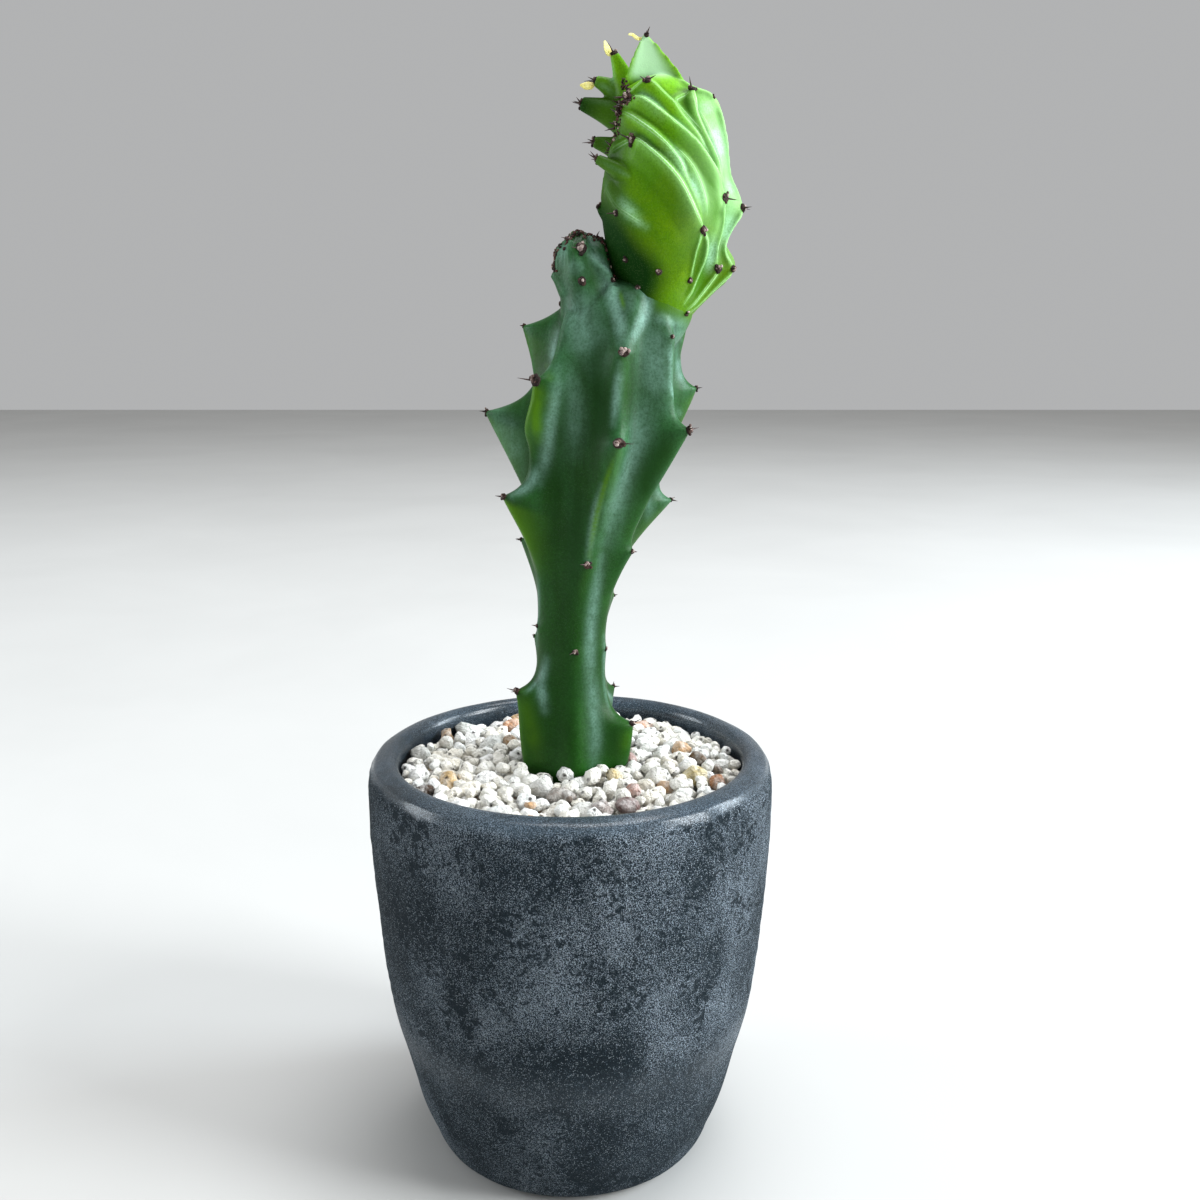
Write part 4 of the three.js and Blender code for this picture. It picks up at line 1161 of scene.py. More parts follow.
# Grains that stand out, by the place where the photograph shows them, radius and colour
MARKED_GRAINS = [
    (470, 727, 4.7, "c6c9c2"), (491, 743, 4.2, "cac9c2"), (517, 758, 3, "d2d1cc"), (446, 734, 3, "9c7a50"),
    (511, 723, 3, "c69674"), (511, 742, 2.7, "947550"), (450, 778, 3, "c8a878"), (424, 787, 3, "4b3b30"),
    (563, 764, 3.2, "d4d2cb"), (566, 774, 3.4, "d6d5cf"), (557, 794, 2.8, "978d84"),
    (569, 796, 2.4, "7d7066"), (602, 807, 2.8, "9c908a"), (614, 777, 2.6, "c2ad7a"),
    (633, 789, 2.8, "ac8478"), (628, 803, 2.6, "6a4a44"), (629, 760, 2.4, "825448"),
    (644, 724, 2.8, "bd8c6c"), (681, 747, 3, "c09a72"), (699, 757, 2.6, "66513a"),
    (693, 770, 4.3, "ccba86"), (718, 779, 3, "a06c44"), (682, 797, 3.8, "d2cec5"),
    (584, 807, 4.2, "d8d6cf"), (540, 786, 3.8, "cecbc4"), (655, 775, 3.6, "cdc9bf"),
    (420, 750, 3.4, "c9c8c1"),
]
GRAIN_TINTS = ["f5f4ef", "eeebe2", "ecece8", "eee7d8", "f8f7f4", "e2ded3", "f1ece1", "e9e4d8"]
RARE_TINTS = ["b8926a", "a98a63", "8d7459", "a07058", "c8b083", "7c6e62"]
RARE_SHARE = 0.04
TWIN_SHARE = 0.3
TWIN_SIZE = 0.72
TWIN_SHIFT = 0.55


def paint(code, alpha=1.0):
    """A colour written as six hex digits, as linear light for a socket."""
    parts = [int(code[i:i + 2], 16) / 255 for i in (0, 2, 4)]
    return (*[part / 12.92 if part <= 0.04045 else ((part + 0.055) / 1.055) ** 2.4 for part in parts], alpha)


def on_level(pixel, height):
    """The place at a height that the camera sees at a pixel of the photograph."""
    start = np.array(CAMERA_PLACE)
    direction = np.array(sight(pixel))
    return start + direction * (height - start[2]) / direction[2]


def grit_surface(x, y):
    """The height of the grit's low mound."""
    return GRIT_TOP + GRIT_MOUND * (1 - np.hypot(x, y) / GRIT_RADIUS)


def clear_of_stem(x, y, radius):
    """True where a grain of a radius would not touch the stem."""
    sideways = x - STEM_AXIS[0][1]
    backward = y / STEM_DEPTH[0][1]
    turn = np.arctan2(backward, sideways)
    skin = stem_radius(turn, np.full(np.shape(turn), STEM_MEETS_GRIT))
    return np.hypot(backward, sideways) > skin + STEM_GAP + GRAIN_HALF_HEIGHT * radius


def packed_grains(rng):
    """Places and radii of grains that settle on each other between the stem and the wall."""
    places = []
    radii = []
    for px, py, radius, _ in MARKED_GRAINS:
        spot = on_level((px, py), GRIT_TOP)
        spot[2] = grit_surface(spot[0], spot[1]) - GRAIN_HALF_HEIGHT * radius + MARKED_GRAIN_RISE
        outward = np.hypot(spot[0], spot[1])
        spot[:2] *= min(1, (GRIT_RADIUS - radius) / outward)
        places.append(spot)
        radii.append(radius)
    while len(places) < MOST_GRAINS:
        radius = GRAIN_RADIUS[0] + (GRAIN_RADIUS[1] - GRAIN_RADIUS[0]) * rng.uniform() ** 1.5
        reach = np.sqrt(rng.uniform(0, 1, TRIES)) * (GRIT_RADIUS - radius)
        turn = rng.uniform(0, tau, TRIES)
        x, y = reach * np.cos(turn), reach * np.sin(turn)
        known = np.array(places)
        contact = NESTLING * (np.array(radii) + radius)
        apart = np.hypot(x[:, None] - known[:, 0], y[:, None] - known[:, 1])
        rise = np.sqrt(np.maximum(0, contact ** 2 - apart ** 2))
        resting = np.where(apart < contact, known[:, 2] + rise, GRIT_BOTTOM + radius).max(1)
        low_enough = resting + GRAIN_HALF_HEIGHT * radius < grit_surface(x, y) + GRAIN_RISE
        allowed = clear_of_stem(x, y, radius) & low_enough
        if not allowed.any():
            if radius < GRAIN_RADIUS[0] + 0.4 and len(places) > MOST_GRAINS // 2:
                break
            continue
        best = np.where(allowed, resting, np.inf).argmin()
        places.append(np.array([x[best], y[best], resting[best]]))
        radii.append(radius)
    return np.array(places), np.array(radii)


def make_grit(finish):
    """The pumice grains, each with a tint, and some of them doubled by a smaller twin."""
    rng = np.random.default_rng(SEED)
    places, radii = packed_grains(rng)
    count = len(places)
    rare = rng.uniform(size=count) < RARE_SHARE
    tints = [paint(rng.choice(RARE_TINTS if odd else GRAIN_TINTS)) for odd in rare]
    tints[:len(MARKED_GRAINS)] = [paint(code) for *_, code in MARKED_GRAINS]
    sizes = radii[:, None] * MM * np.stack([
        rng.uniform(0.95, 1.35, count), rng.uniform(0.78, 1, count), rng.uniform(0.7, 0.92, count),
    ], 1)
    turns = np.stack([
        rng.uniform(-0.5, 0.5, count), rng.uniform(-0.5, 0.5, count), rng.uniform(0, tau, count),
    ], 1)
    twins = rng.permutation(count)[:int(TWIN_SHARE * count)]
    headings = rng.uniform(0, tau, len(twins))
    shifts = np.stack([np.cos(headings), np.sin(headings), rng.uniform(-0.4, 0.5, len(twins))], 1)
    places = np.vstack([places, places[twins] + TWIN_SHIFT * radii[twins, None] * shifts])
    sizes = np.vstack([sizes, TWIN_SIZE * sizes[twins]])
    turns = np.vstack([turns, turns[twins] + 1])
    tints = np.vstack([tints, np.array(tints)[twins]])
    grit = grown_on_points(
        "pumice_grains", places, dict(size=sizes, turn=turns, tint=tints), LUMPS,
        fineness=2, unevenness=0.85, bump_size=0.0026, material=finish,
    )
    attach(grit, "root")
    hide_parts("pumice_grit")


# Areoles: dark corky pads with a pale cap and a few spines

PAD_TINTS = ["2b1d18", "37261f", "4a342c"]
CAP_TINTS = ["a8938c", "8f7d78", "c2b0a8", "6d5750"]
SPINE_ROOT = 0.34
HIGHEST_SPINE = 325.1
UP = np.array([0, 0, 1.0])


def euler_towards(directions):
    """Turns that point each lump's flat side along a direction."""
    return np.array([Vector(d).to_track_quat("Z", "Y").to_euler()[:] for d in directions])


class Areoles:
    """Collects pads, caps and spines, then makes them as two pieces."""

    def __init__(self, seed):
        self.rng = np.random.default_rng(seed)
        self.lumps = []
        self.spines = []

    def lump(self, place, outward, radius, flat, tints):
        """One lump, flattened along its outward direction to a share of its radius."""
        wide = radius * self.rng.uniform(0.85, 1.15, 2)
        self.lumps.append((place, outward, (*wide, radius * flat), paint(self.rng.choice(tints))))

    def add(self, place, outward, size=1.0, spines=2, cap=1.0):
        """One areole: the lumps of its pad, the paler lumps of its cap, and its spines."""
        rng = self.rng
        outward = unit(outward)
        side = unit(np.cross(outward, UP) + 1e-6)
        over = np.cross(side, outward)
        self.lump(place - 0.1 * outward, outward, 1.25 * size, 0.75, PAD_TINTS)
        for _ in range(5):
            shift = rng.normal(0, 0.55 * size, 2)
            spot = place + shift[0] * side + shift[1] * over + 0.25 * size * outward
            self.lump(spot, outward, 0.62 * size, 0.8, PAD_TINTS)
        for _ in range(int(5 * cap)):
            shift = rng.normal(0, 0.42 * size, 2)
            spot = place + shift[0] * side + (shift[1] + 0.35 * size) * over + 0.7 * size * outward
            self.lump(spot, outward, 0.46 * size, 0.8, CAP_TINTS)
        for index in range(spines):
            hand = (-1) ** index
            lean = rng.uniform(0.45, 0.95) * hand * side + rng.uniform(-0.3, 0.35) * over
            aim = unit(0.75 * outward + lean) * rng.uniform(2.6, 4.2) * size
            aim = aim * min(1, (HIGHEST_SPINE - place[2]) / max(aim[2], 1e-3))
            self.spines.append((place + 0.2 * hand * side, aim, rng.normal(0, 0.3, 3) * (1, 1, 0)))

    def make(self, name, pad_finish, spine_finish):
        """Turns what was collected into the pads and the spines of one part of the plant."""
        places, outward, sizes, tints = zip(*self.lumps)
        lumps = dict(size=np.array(sizes) * MM, turn=euler_towards(outward), tint=tints)
        pads = grown_on_points(
            name + "_pads", places, lumps, LUMPS,
            fineness=2, unevenness=0.5, bump_size=0.0009, material=pad_finish,
        )
        roots, aims, bends = zip(*self.spines)
        spikes = dict(aim=np.array(aims) * MM, bend=np.array(bends) * MM)
        spines = grown_on_points(
            name + "_spines", roots, spikes, SPINES, root_radius=SPINE_ROOT * MM, material=spine_finish,
        )
        for piece in (pads, spines):
            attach(piece, "root")


# Areoles on the stub and the shoulder by pixel of the photograph: place, size, spines and how much pale cap
STUB_AREOLES = [
    ((582, 249), 1.25, 1, 2), ((582, 281), 0.95, 0, 0.2), ((552, 267), 0.8, 0, 1), ((613, 280), 0.6, 0, 0.4),
    ((687, 313), 0.7, 1, 0.4), ((559, 304), 0.5, 0, 0.4),
]

# The reach in millimetres up to which a tooth has one spine, and from which its cap is small
LOW_TOOTH = 2
LONG_TOOTH = 9


def add_stem_areoles(areoles, surface):
    """An areole on each tooth of the ribs, and those on the stub and the shoulder."""
    for rib in RIBS:
        for (tip, reach, _, _), size in zip(rib["teeth"], rib["pads"]):
            turn = rib_turn(rib, tip)
            spot = stem_point(turn, np.float64(tip), -0.3)
            outward = np.array([np.cos(turn), np.sin(turn), 0.1])
            point = np.array(surface.find_nearest(Vector(spot))[0])
            spines = 2 if reach > LOW_TOOTH else 1
            areoles.add(point, outward, size, spines, 1.0 if reach < LONG_TOOTH else 0.3)
    for pixel, size, spines, cap in STUB_AREOLES:
        point, normal = seen_on(surface, pixel)
        areoles.add(point, normal, size, spines, cap)


# Crest areoles by pixel of the photograph: place, size, spines and how much pale cap
CREST_AREOLES = [
    ((647, 80), 0.85, 2, 0.4), ((632, 140), 1, 1, 1), ((725, 198), 1, 2, 0.4),
    ((743, 208), 0.9, 2, 1), ((703, 230), 0.9, 1, 0.8), ((733, 269), 0.8, 1, 1), ((718, 269), 0.9, 1, 0.6),
    ((690, 281), 0.7, 0, 1), ((659, 272), 0.7, 0, 1), ((626, 260), 0.6, 0, 0.6), ((616, 213), 0.7, 1, 0.4),
    ((714, 97), 0.4, 0, 0), ((627, 97), 1, 3, 0.6), ((618, 113), 0.9, 2, 0.6), ((619, 103), 0.5, 1, 2),
    ((616, 124), 0.5, 1, 1.6),
]
FINGER_SPINES = [2, 3, 4, 3, 4, 1, 0]
BACK_PADS_START = 8.5


def add_crest_areoles(areoles, surface):
    """The areoles of the crest's face, those of them that its back repeats, and those of its tips."""
    for pixel, size, spines, cap in CREST_AREOLES:
        point, normal = seen_on(surface, pixel)
        areoles.add(point, normal, size, spines, cap)
        back, outward, _, _ = surface.find_nearest(Vector(mirrored(point)))
        if back.y > BACK_PADS_START:
            areoles.add(np.array(back), np.array(outward), size, spines, cap)
    for finger, spines in zip(FINGERS, FINGER_SPINES):
        tip = np.array(finger["line"][-1])
        outward = unit(tip - np.array(finger["line"][-2]))
        areoles.add(tip, outward, 0.9, spines, 0.4)
    leaf_tip = np.array(LEAF_RIGHT[-1])
    areoles.add(leaf_tip + (0, 0, -0.3), np.array([0.1, 0, 1]), 0.7, 2, 0)


# Crust: the dried growing lines of the stub and of the crest

STUB_MARGIN = [
    (-3.6, 0, 262), (-3.4, 0, 267), (-1, 0, 270.4), (2.5, 0, 273), (6.5, 0, 271.8), (10, 0, 269.4),
    (11, 0, 266), (11.6, 0, 262), (13.6, 0, 259),
]
GROWING_LINE = [(622, 84), (628, 92), (630, 100), (621, 105), (619, 117), (616, 130), (613, 141), (608, 152)]
CRUST_TINTS = ["32231d", "43302a", "4f332b", "5c322d", "6f5248", "b9a79a", "261c19"]
STUB_CRUST = dict(count=300, spread=(0.5, 1.7, 0.5), radius=0.56, bristles=4)
CREST_CRUST = dict(count=170, spread=(0.6, 0.8, 0.5), radius=0.4, bristles=20)


def add_crust(areoles, surface, path, count, spread, radius, bristles):
    """Sows lumps on the surface along a path, with a few dried bristles among them."""
    rng = areoles.rng
    steps = smooth_path(path, 100)
    for index in range(count):
        spot = steps[rng.integers(100)] + rng.normal(0, spread)
        point, normal, _, _ = surface.find_nearest(Vector(spot))
        point, normal = np.array(point), np.array(normal)
        areoles.lump(point, normal, radius * rng.uniform(0.5, 1.1), 0.8, CRUST_TINTS)
        if index < bristles:
            aim = unit(normal + rng.normal(0, 0.5, 3)) * rng.uniform(1.2, 2.6)
            areoles.spines.append((point, aim, rng.normal(0, 0.3, 3)))


# Dried leaf tips that cling to the top and to two fingers

LEAF_REMNANTS = [
    dict(
        line=[(20.2, 0, 322.5), (18.8, -0.6, 322.4), (17.4, -0.3, 323.4), (16.4, -1, 323.3)],
        wide=[0.3, 0.6, 0.5, 0.2],
    ),
    dict(line=[(12.4, 2.6, 318.6), (11, 2.2, 320), (10, 2, 322.4)], wide=[0.4, 1.4, 1.1, 0.3]),
    dict(line=[(7.4, 4, 312), (5.6, 3.6, 311.4), (3.4, 3.6, 311.6)], wide=[0.4, 1.3, 1.2, 0.3]),
]
REMNANT_THICKNESS = 0.16
REMNANT_ACROSS = (0.3, 0.5, 1)


def make_leaf_remnants(finish):
    """The dried leaf tips as thin blades in one piece."""
    blades = [
        limb(leaf["line"], REMNANT_ACROSS, leaf["wide"], [REMNANT_THICKNESS], rows=24, columns=16)
        for leaf in LEAF_REMNANTS
    ]
    leaves = mesh_piece("leaf_remnants", blades)
    leaves.data.materials.append(finish)
    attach(leaves, "root")


# Pot

POT_OUTSIDE = [
    (34, 0), (38.6, 0.6), (42.8, 2.8), (45, 8), (48.1, 16), (51.6, 30), (56.3, 50), (58.8, 75), (60.5, 100),
    (60.6, 110),
]
POT_LIP = [
    (60.6, 110), (60.6, 115), (60.2, 119), (59.6, 121), (58.6, 122.7), (56.8, 123.8), (54.6, 124),
    (52.6, 123.4), (51.5, 121.8), (51.4, 119.6), (52.2, 116.5), (53, 112),
]
POT_INSIDE = [(53, 112), (53.2, 100), (51.6, 75), (49.2, 50), (44.4, 30), (34, FLOOR_TOP)]
DRAIN = [(8, FLOOR_TOP), (8, 2), (24.5, 2), (26.5, 0)]
WALL_ROWS = 130
LIP_ROWS = 70
INSIDE_ROWS = 30
POT_COLUMNS = 360
LIP_CREASE = 120.9

# The radii over which the pot turns inward, and the heights over which its inside turns smooth
INWARD_RADII = (57, 54)
SMOOTH_HEIGHTS = (30, 60)


def noise_at(points, size, seed=0.0):
    """Soft noise between -1 and 1 at points in millimetres, with lumps of one size."""
    shift = Vector((seed, 2 * seed, -seed))
    return np.array([noise.noise(Vector(point) / size + shift) for point in points])


def make_pot(finish):
    """The pot as one closed shell, uneven on its wall and smoother on its lip."""
    wall = smooth_path(POT_OUTSIDE, WALL_ROWS)[:-1]
    lip = smooth_path(POT_LIP, LIP_ROWS)[:-1]
    inside = smooth_path(POT_INSIDE, INSIDE_ROWS)
    points, faces = turned([*wall, *lip, *inside, *DRAIN], POT_COLUMNS)
    pot = mesh_piece("pot_body", [(points, faces)])
    normals = normals_of(pot)
    outward = np.hypot(points[:, 0], points[:, 1])
    rough = noise_at(points, 3, 7)
    lip_edge = LIP_CREASE + 0.8 * noise_at(points, 7, 5)
    height = points[:, 2]
    inward = eased(*INWARD_RADII, outward)
    above_floor = eased(*SMOOTH_HEIGHTS, height)
    polished = np.maximum(eased(lip_edge - 1.6, lip_edge + 1, height), inward)
    wave = 0.3 * noise_at(points, 28) + 0.14 * noise_at(points, 9, 3) + 0.2 * rough * (1 - polished)
    wave -= 0.3 + 0.22 * polished * eased(116, 119, height)
    off_foot = eased(1, 4, height)
    inner = inward * above_floor
    reshape(pot, points + (wave * off_foot * (1 - 0.8 * inner))[:, None] * normals)
    store(pot, "polished", polished * above_floor)
    pot.data.materials.append(finish)
    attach(pot, "root")
    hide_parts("pot")


# Finishes

def flecks_group():
    """Scattered flecks: a mask of small spots, and a soft grain of about their size."""
    tree = new_tree("flecks", "ShaderNodeTree", [
        ("Vector", VECTOR, None), ("Scale", NUMBER, 1000), ("Share", NUMBER, 0.3),
    ], [("Spots", NUMBER), ("Grain", NUMBER)])
    nodes = Nodes(tree)
    given = nodes.add("NodeGroupInput").outputs
    cells = nodes.add("ShaderNodeTexVoronoi", {"Vector": given["Vector"], "Scale": given["Scale"]})
    chance = nodes.add("ShaderNodeSeparateColor", {"Color": cells.outputs["Color"]}).outputs[0]
    chosen = nodes.math("LESS_THAN", chance, given["Share"])
    reach = nodes.add("ShaderNodeMapRange", {"Value": cells.outputs["Distance"], 1: 0.45, 2: 0.1})
    spots = nodes.times(chosen, reach.outputs[0])
    grain = nodes.add("ShaderNodeTexNoise", {
        "Vector": given["Vector"], "Scale": given["Scale"], "Detail": 2.0, "Roughness": 0.6,
    })
    nodes.add("NodeGroupOutput", {"Spots": spots, "Grain": grain.outputs[0]})
    return tree


def patches_group():
    """Soft patches: a broad mask with a chosen size, edge and share."""
    tree = new_tree("patches", "ShaderNodeTree", [
        ("Vector", VECTOR, None), ("Scale", NUMBER, 40), ("From", NUMBER, 0.4), ("To", NUMBER, 0.6),
        ("Detail", NUMBER, 4),
    ], [("Mask", NUMBER)])
    nodes = Nodes(tree)
    given = nodes.add("NodeGroupInput").outputs
    cloud = nodes.add("ShaderNodeTexNoise", {
        "Vector": given["Vector"], "Scale": given["Scale"], "Detail": given["Detail"], "Roughness": 0.6,
        "Distortion": 0.4,
    })
    mask = nodes.add("ShaderNodeMapRange", {"Value": cloud.outputs[0], 1: given["From"], 2: given["To"]})
    nodes.add("NodeGroupOutput", {"Mask": mask.outputs[0]})
    return tree


FLECKS = flecks_group()
PATCHES = patches_group()

# Heights in metres between which the stem's bloom, with its painted sheen, grows to its full strength
BLOOM_AND_SHEEN_HEIGHTS = (0.165, 0.245)


class Finish(Nodes):
    """A material under construction, with its surface shader in place."""

    def __init__(self, name, **surface):
        self.material = bpy.data.materials.new(name)
        self.material.use_nodes = True
        super().__init__(self.material.node_tree)
        self.shader = self.tree.nodes["Principled BSDF"]
        for key, value in surface.items():
            self.shader.inputs[key.replace("_", " ").title().replace("Ior", "IOR")].default_value = value
        self.place = self.add("ShaderNodeTexCoord").outputs["Object"]

    def link(self, value, key):
        self.tree.links.new(value, self.shader.inputs[key])

    def mark(self, name):
        """The number that the piece keeps at each vertex under a name."""
        return self.add("ShaderNodeAttribute", attribute_name=name).outputs["Fac"]

    def tint(self):
        """The colour that each lump keeps."""
        return self.add("ShaderNodeAttribute", attribute_name="tint").outputs["Color"]

    def along(self, axis):
        """The place along one axis, in metres."""
        return self.add("ShaderNodeSeparateXYZ", {0: self.place}).outputs[axis]

    def ramp(self, value, low, high, bottom=0.0, top=1.0):
        """A value carried over from one range to another, and held at its ends."""
        return self.add("ShaderNodeMapRange", {0: value, 1: low, 2: high, 3: bottom, 4: top}).outputs[0]

    def mix(self, factor, a, b, mode="MIX"):
        """Colour a, blended with colour b by a factor."""
        inputs = {"Factor": factor, 6: a, 7: b}
        return self.add("ShaderNodeMix", inputs, data_type="RGBA", blend_type=mode).outputs[2]

    def over(self, under, mask, code, strength=None):
        """A colour laid over another where a mask is, at full strength or less."""
        if strength is not None:
            mask = self.times(mask, strength)
        return self.mix(mask, under, paint(code))

    def flecks(self, scale, share=0.3):
        inputs = {"Vector": self.place, "Scale": scale, "Share": share}
        return self.add("ShaderNodeGroup", inputs, node_tree=FLECKS).outputs

    def patches(self, scale, low, high, **other):
        inputs = {"Vector": self.place, "Scale": scale, "From": low, "To": high, **other}
        return self.add("ShaderNodeGroup", inputs, node_tree=PATCHES).outputs[0]

    def ragged(self, mask, scale, amount):
        """The mask, uneven at a scale by an amount."""
        uneven = self.times(self.minus(self.patches(scale, 0.3, 0.7), 0.5), amount)
        return self.math("MULTIPLY", mask, self.plus(uneven, 0.9), clamp=True)

    def relief(self, height, distance, strength=1.0):
        """Small relief, from a height map whose 1 stands for a distance in metres."""
        inputs = {"Height": height, "Distance": distance, "Strength": strength}
        self.link(self.add("ShaderNodeBump", inputs).outputs[0], "Normal")


def cement_finish():
    """Charcoal cement: a fine sandy crust with ragged dark pits, and a smoother lip with a sheen."""
    blue_sheen = (0.5, 0.78, 1, 1)
    f = Finish("charcoal_cement", specular_ior_level=0.36, specular_tint=blue_sheen, coat_roughness=0.2)
    polished = f.mark("polished")
    sand = f.add("ShaderNodeTexNoise", {
        "Vector": f.place, "Scale": 3600, "Detail": 2.0, "Roughness": 0.7,
    }).outputs[0]
    worn = f.patches(30, 0.35, 0.68)
    veil = f.patches(55, 0.35, 0.65)
    dabs = f.patches(210, 0.25, 0.75)
    pitted = f.plus(f.times(f.patches(64, 0.3, 0.9), 0.8), f.patches(520, 0.25, 0.75), f.times(sand, 0.7))
    pits = f.times(f.ramp(pitted, 1.32, 1.44), f.minus(1.0, polished))
    tone = f.plus(sand, f.times(f.minus(0.38, worn), 0.13))
    body = f.mix(f.ramp(tone, 0.46, 0.515), paint("010203"), f.mix(veil, paint("12171c"), paint("20282f")))
    body = f.over(body, f.ramp(tone, 0.553, 0.616), "a5b1bc")
    body = f.over(body, f.flecks(1800, 0.35)["Spots"], "020305", 0.8)
    # Painted glints: small pale flecks
    body = f.over(body, f.flecks(2500, 0.2)["Spots"], "c9d3d8", 0.9)
    body = f.over(body, pits, "03070a", 0.9)
    body = f.over(body, f.ramp(f.along("Z"), 0.06, 0.0, 0, 0.35), "05080a")
    lip = f.mix(f.ramp(sand, 0.42, 0.6), paint("0b0e11"), f.mix(veil, paint("293238"), paint("4e6273")))
    f.link(f.mix(f.times(polished, 0.65), body, lip), "Base Color")
    f.link(f.ramp(polished, 0, 1, 0.8, 0.36), "Roughness")
    sheen = f.times(f.ramp(f.patches(90, 0.3, 0.7), 0, 1, 0.5, 1), f.ramp(sand, 0.4, 0.55, 0.2, 1))
    f.link(f.times(polished, sheen), "Coat Weight")
    crust = f.minus(f.plus(sand, f.times(dabs, 0.55)), f.times(pits, 0.4))
    f.relief(f.times(crust, f.minus(1.0, f.times(polished, 0.5))), 0.0016)
    return f.material


def pumice_finish():
    """Pale pumice with each grain's own tint under pale dust, dark pinholes and a lumpy surface."""
    f = Finish("pumice", roughness=0.9, specular_ior_level=0.2)
    pits = f.flecks(560, 0.15)["Spots"]
    grain = f.flecks(1700, 0.25)
    lumps = f.patches(420, 0.25, 0.75)
    body = f.over(f.tint(), f.patches(330, 0.38, 0.62), "f4f4f1", 0.4)
    # Painted shade in the low parts of the lumps
    body = f.mix(f.ramp(lumps, 0.5, 0, 0, 0.3), body, f.mix(1.0, body, paint("a69c8c"), "MULTIPLY"))
    body = f.over(body, pits, "2e2822", 0.95)
    body = f.over(body, grain["Spots"], "857a6c", 0.18)
    f.link(body, "Base Color")
    bumps = f.plus(f.times(lumps, 1.4), f.times(grain["Grain"], 0.4))
    f.relief(f.minus(bumps, f.times(pits, 0.9)), 0.0011, 0.9)
    return f.material


def skin_relief(f, strength):
    """The fine pores and soft dents that both skins share."""
    pores = f.flecks(3400, 0.5)
    dents = f.patches(260, 0.2, 0.8)
    f.relief(f.plus(f.times(pores["Grain"], 0.25), f.times(dents, 0.6)), 0.0002, strength)
    return pores


def stem_finish():
    """Deep green skin with painted shade and highlights, a mint bloom with painted sheen in upright streaks,
    and yellower below its thorns.
    """
    f = Finish("dark_green_skin", specular_ior_level=0.13)
    ridge = f.ramp(f.mark("ridge"), -0.4, 1.2)
    pores = skin_relief(f, 0.8)
    upright = f.add("ShaderNodeMapping", {"Vector": f.place, "Scale": (1, 1, 0.16)}).outputs[0]
    broad = f.patches(150, 0.4, 0.66, Vector=upright, Detail=1.0)
    narrow = f.patches(360, 0.4, 0.75, Vector=upright, Detail=1.0)
    skin = f.mix(f.patches(45, 0.35, 0.65), paint("133c06"), paint("1b4b0e"))
    # Painted shade in the valleys, where the skin lies below the smoothed surface
    skin = f.over(skin, f.ramp(ridge, 0.35, 0, 0, 0.7), "062402")
    # Upright streaks of bloom, partly painted sheen, stronger higher up and on proud parts
    bloom = f.times(f.ramp(f.along("Z"), *BLOOM_AND_SHEEN_HEIGHTS, 0.15, 1.1), f.ramp(ridge, 0.1, 0.6, 0.35, 1))
    skin = f.over(skin, f.times(narrow, bloom), "326b3c", 0.35)
    skin = f.over(skin, f.times(broad, bloom), "41774f", 0.5)
    skin = f.over(skin, pores["Spots"], "8db596", 0.08)
    stipple = f.ramp(f.flecks(1500, 0.3)["Grain"], 0.34, 0.58)
    skin = f.over(skin, f.ramp(stipple, 0, 1, 0.3, 0), "052002")
    # Pale bloom with painted highlights at the drawn places
    pale = f.ragged(f.mark("pale"), 380, 0.5)
    pale = f.times(pale, f.ramp(stipple, 0, 1, 0.65, 1), f.ramp(narrow, 0, 1, 0.8, 1))
    skin = f.over(skin, pale, "80a899", 0.85)
    # Painted shade at the deep places
    deep = f.mark("deep")
    skin = f.over(skin, deep, "0a3503", 0.85)
    milky = f.flecks(1300, 0.14)["Spots"]
    skin = f.over(skin, f.times(milky, f.ramp(ridge, 0.7, 1, 0, 0.7)), "c9d9cc")
    skin = f.over(skin, f.times(f.mark("slope"), f.patches(70, 0.22, 0.42)), "4a7802", 0.95)
    youth = f.mark("youth")
    # Painted shade between the stub and the crest, where youth is below 0
    skin = f.over(skin, f.ramp(youth, 0, -0.7, 0, 0.8), "0a2e03")
    skin = f.over(skin, f.ramp(youth, 0, 1, 0, 0.9), "3c6602")
    f.link(skin, "Base Color")
    f.link(f.plus(f.ramp(pores["Grain"], 0.3, 0.7, 0.34, 0.46), f.times(deep, 0.25)), "Roughness")
    return f.material


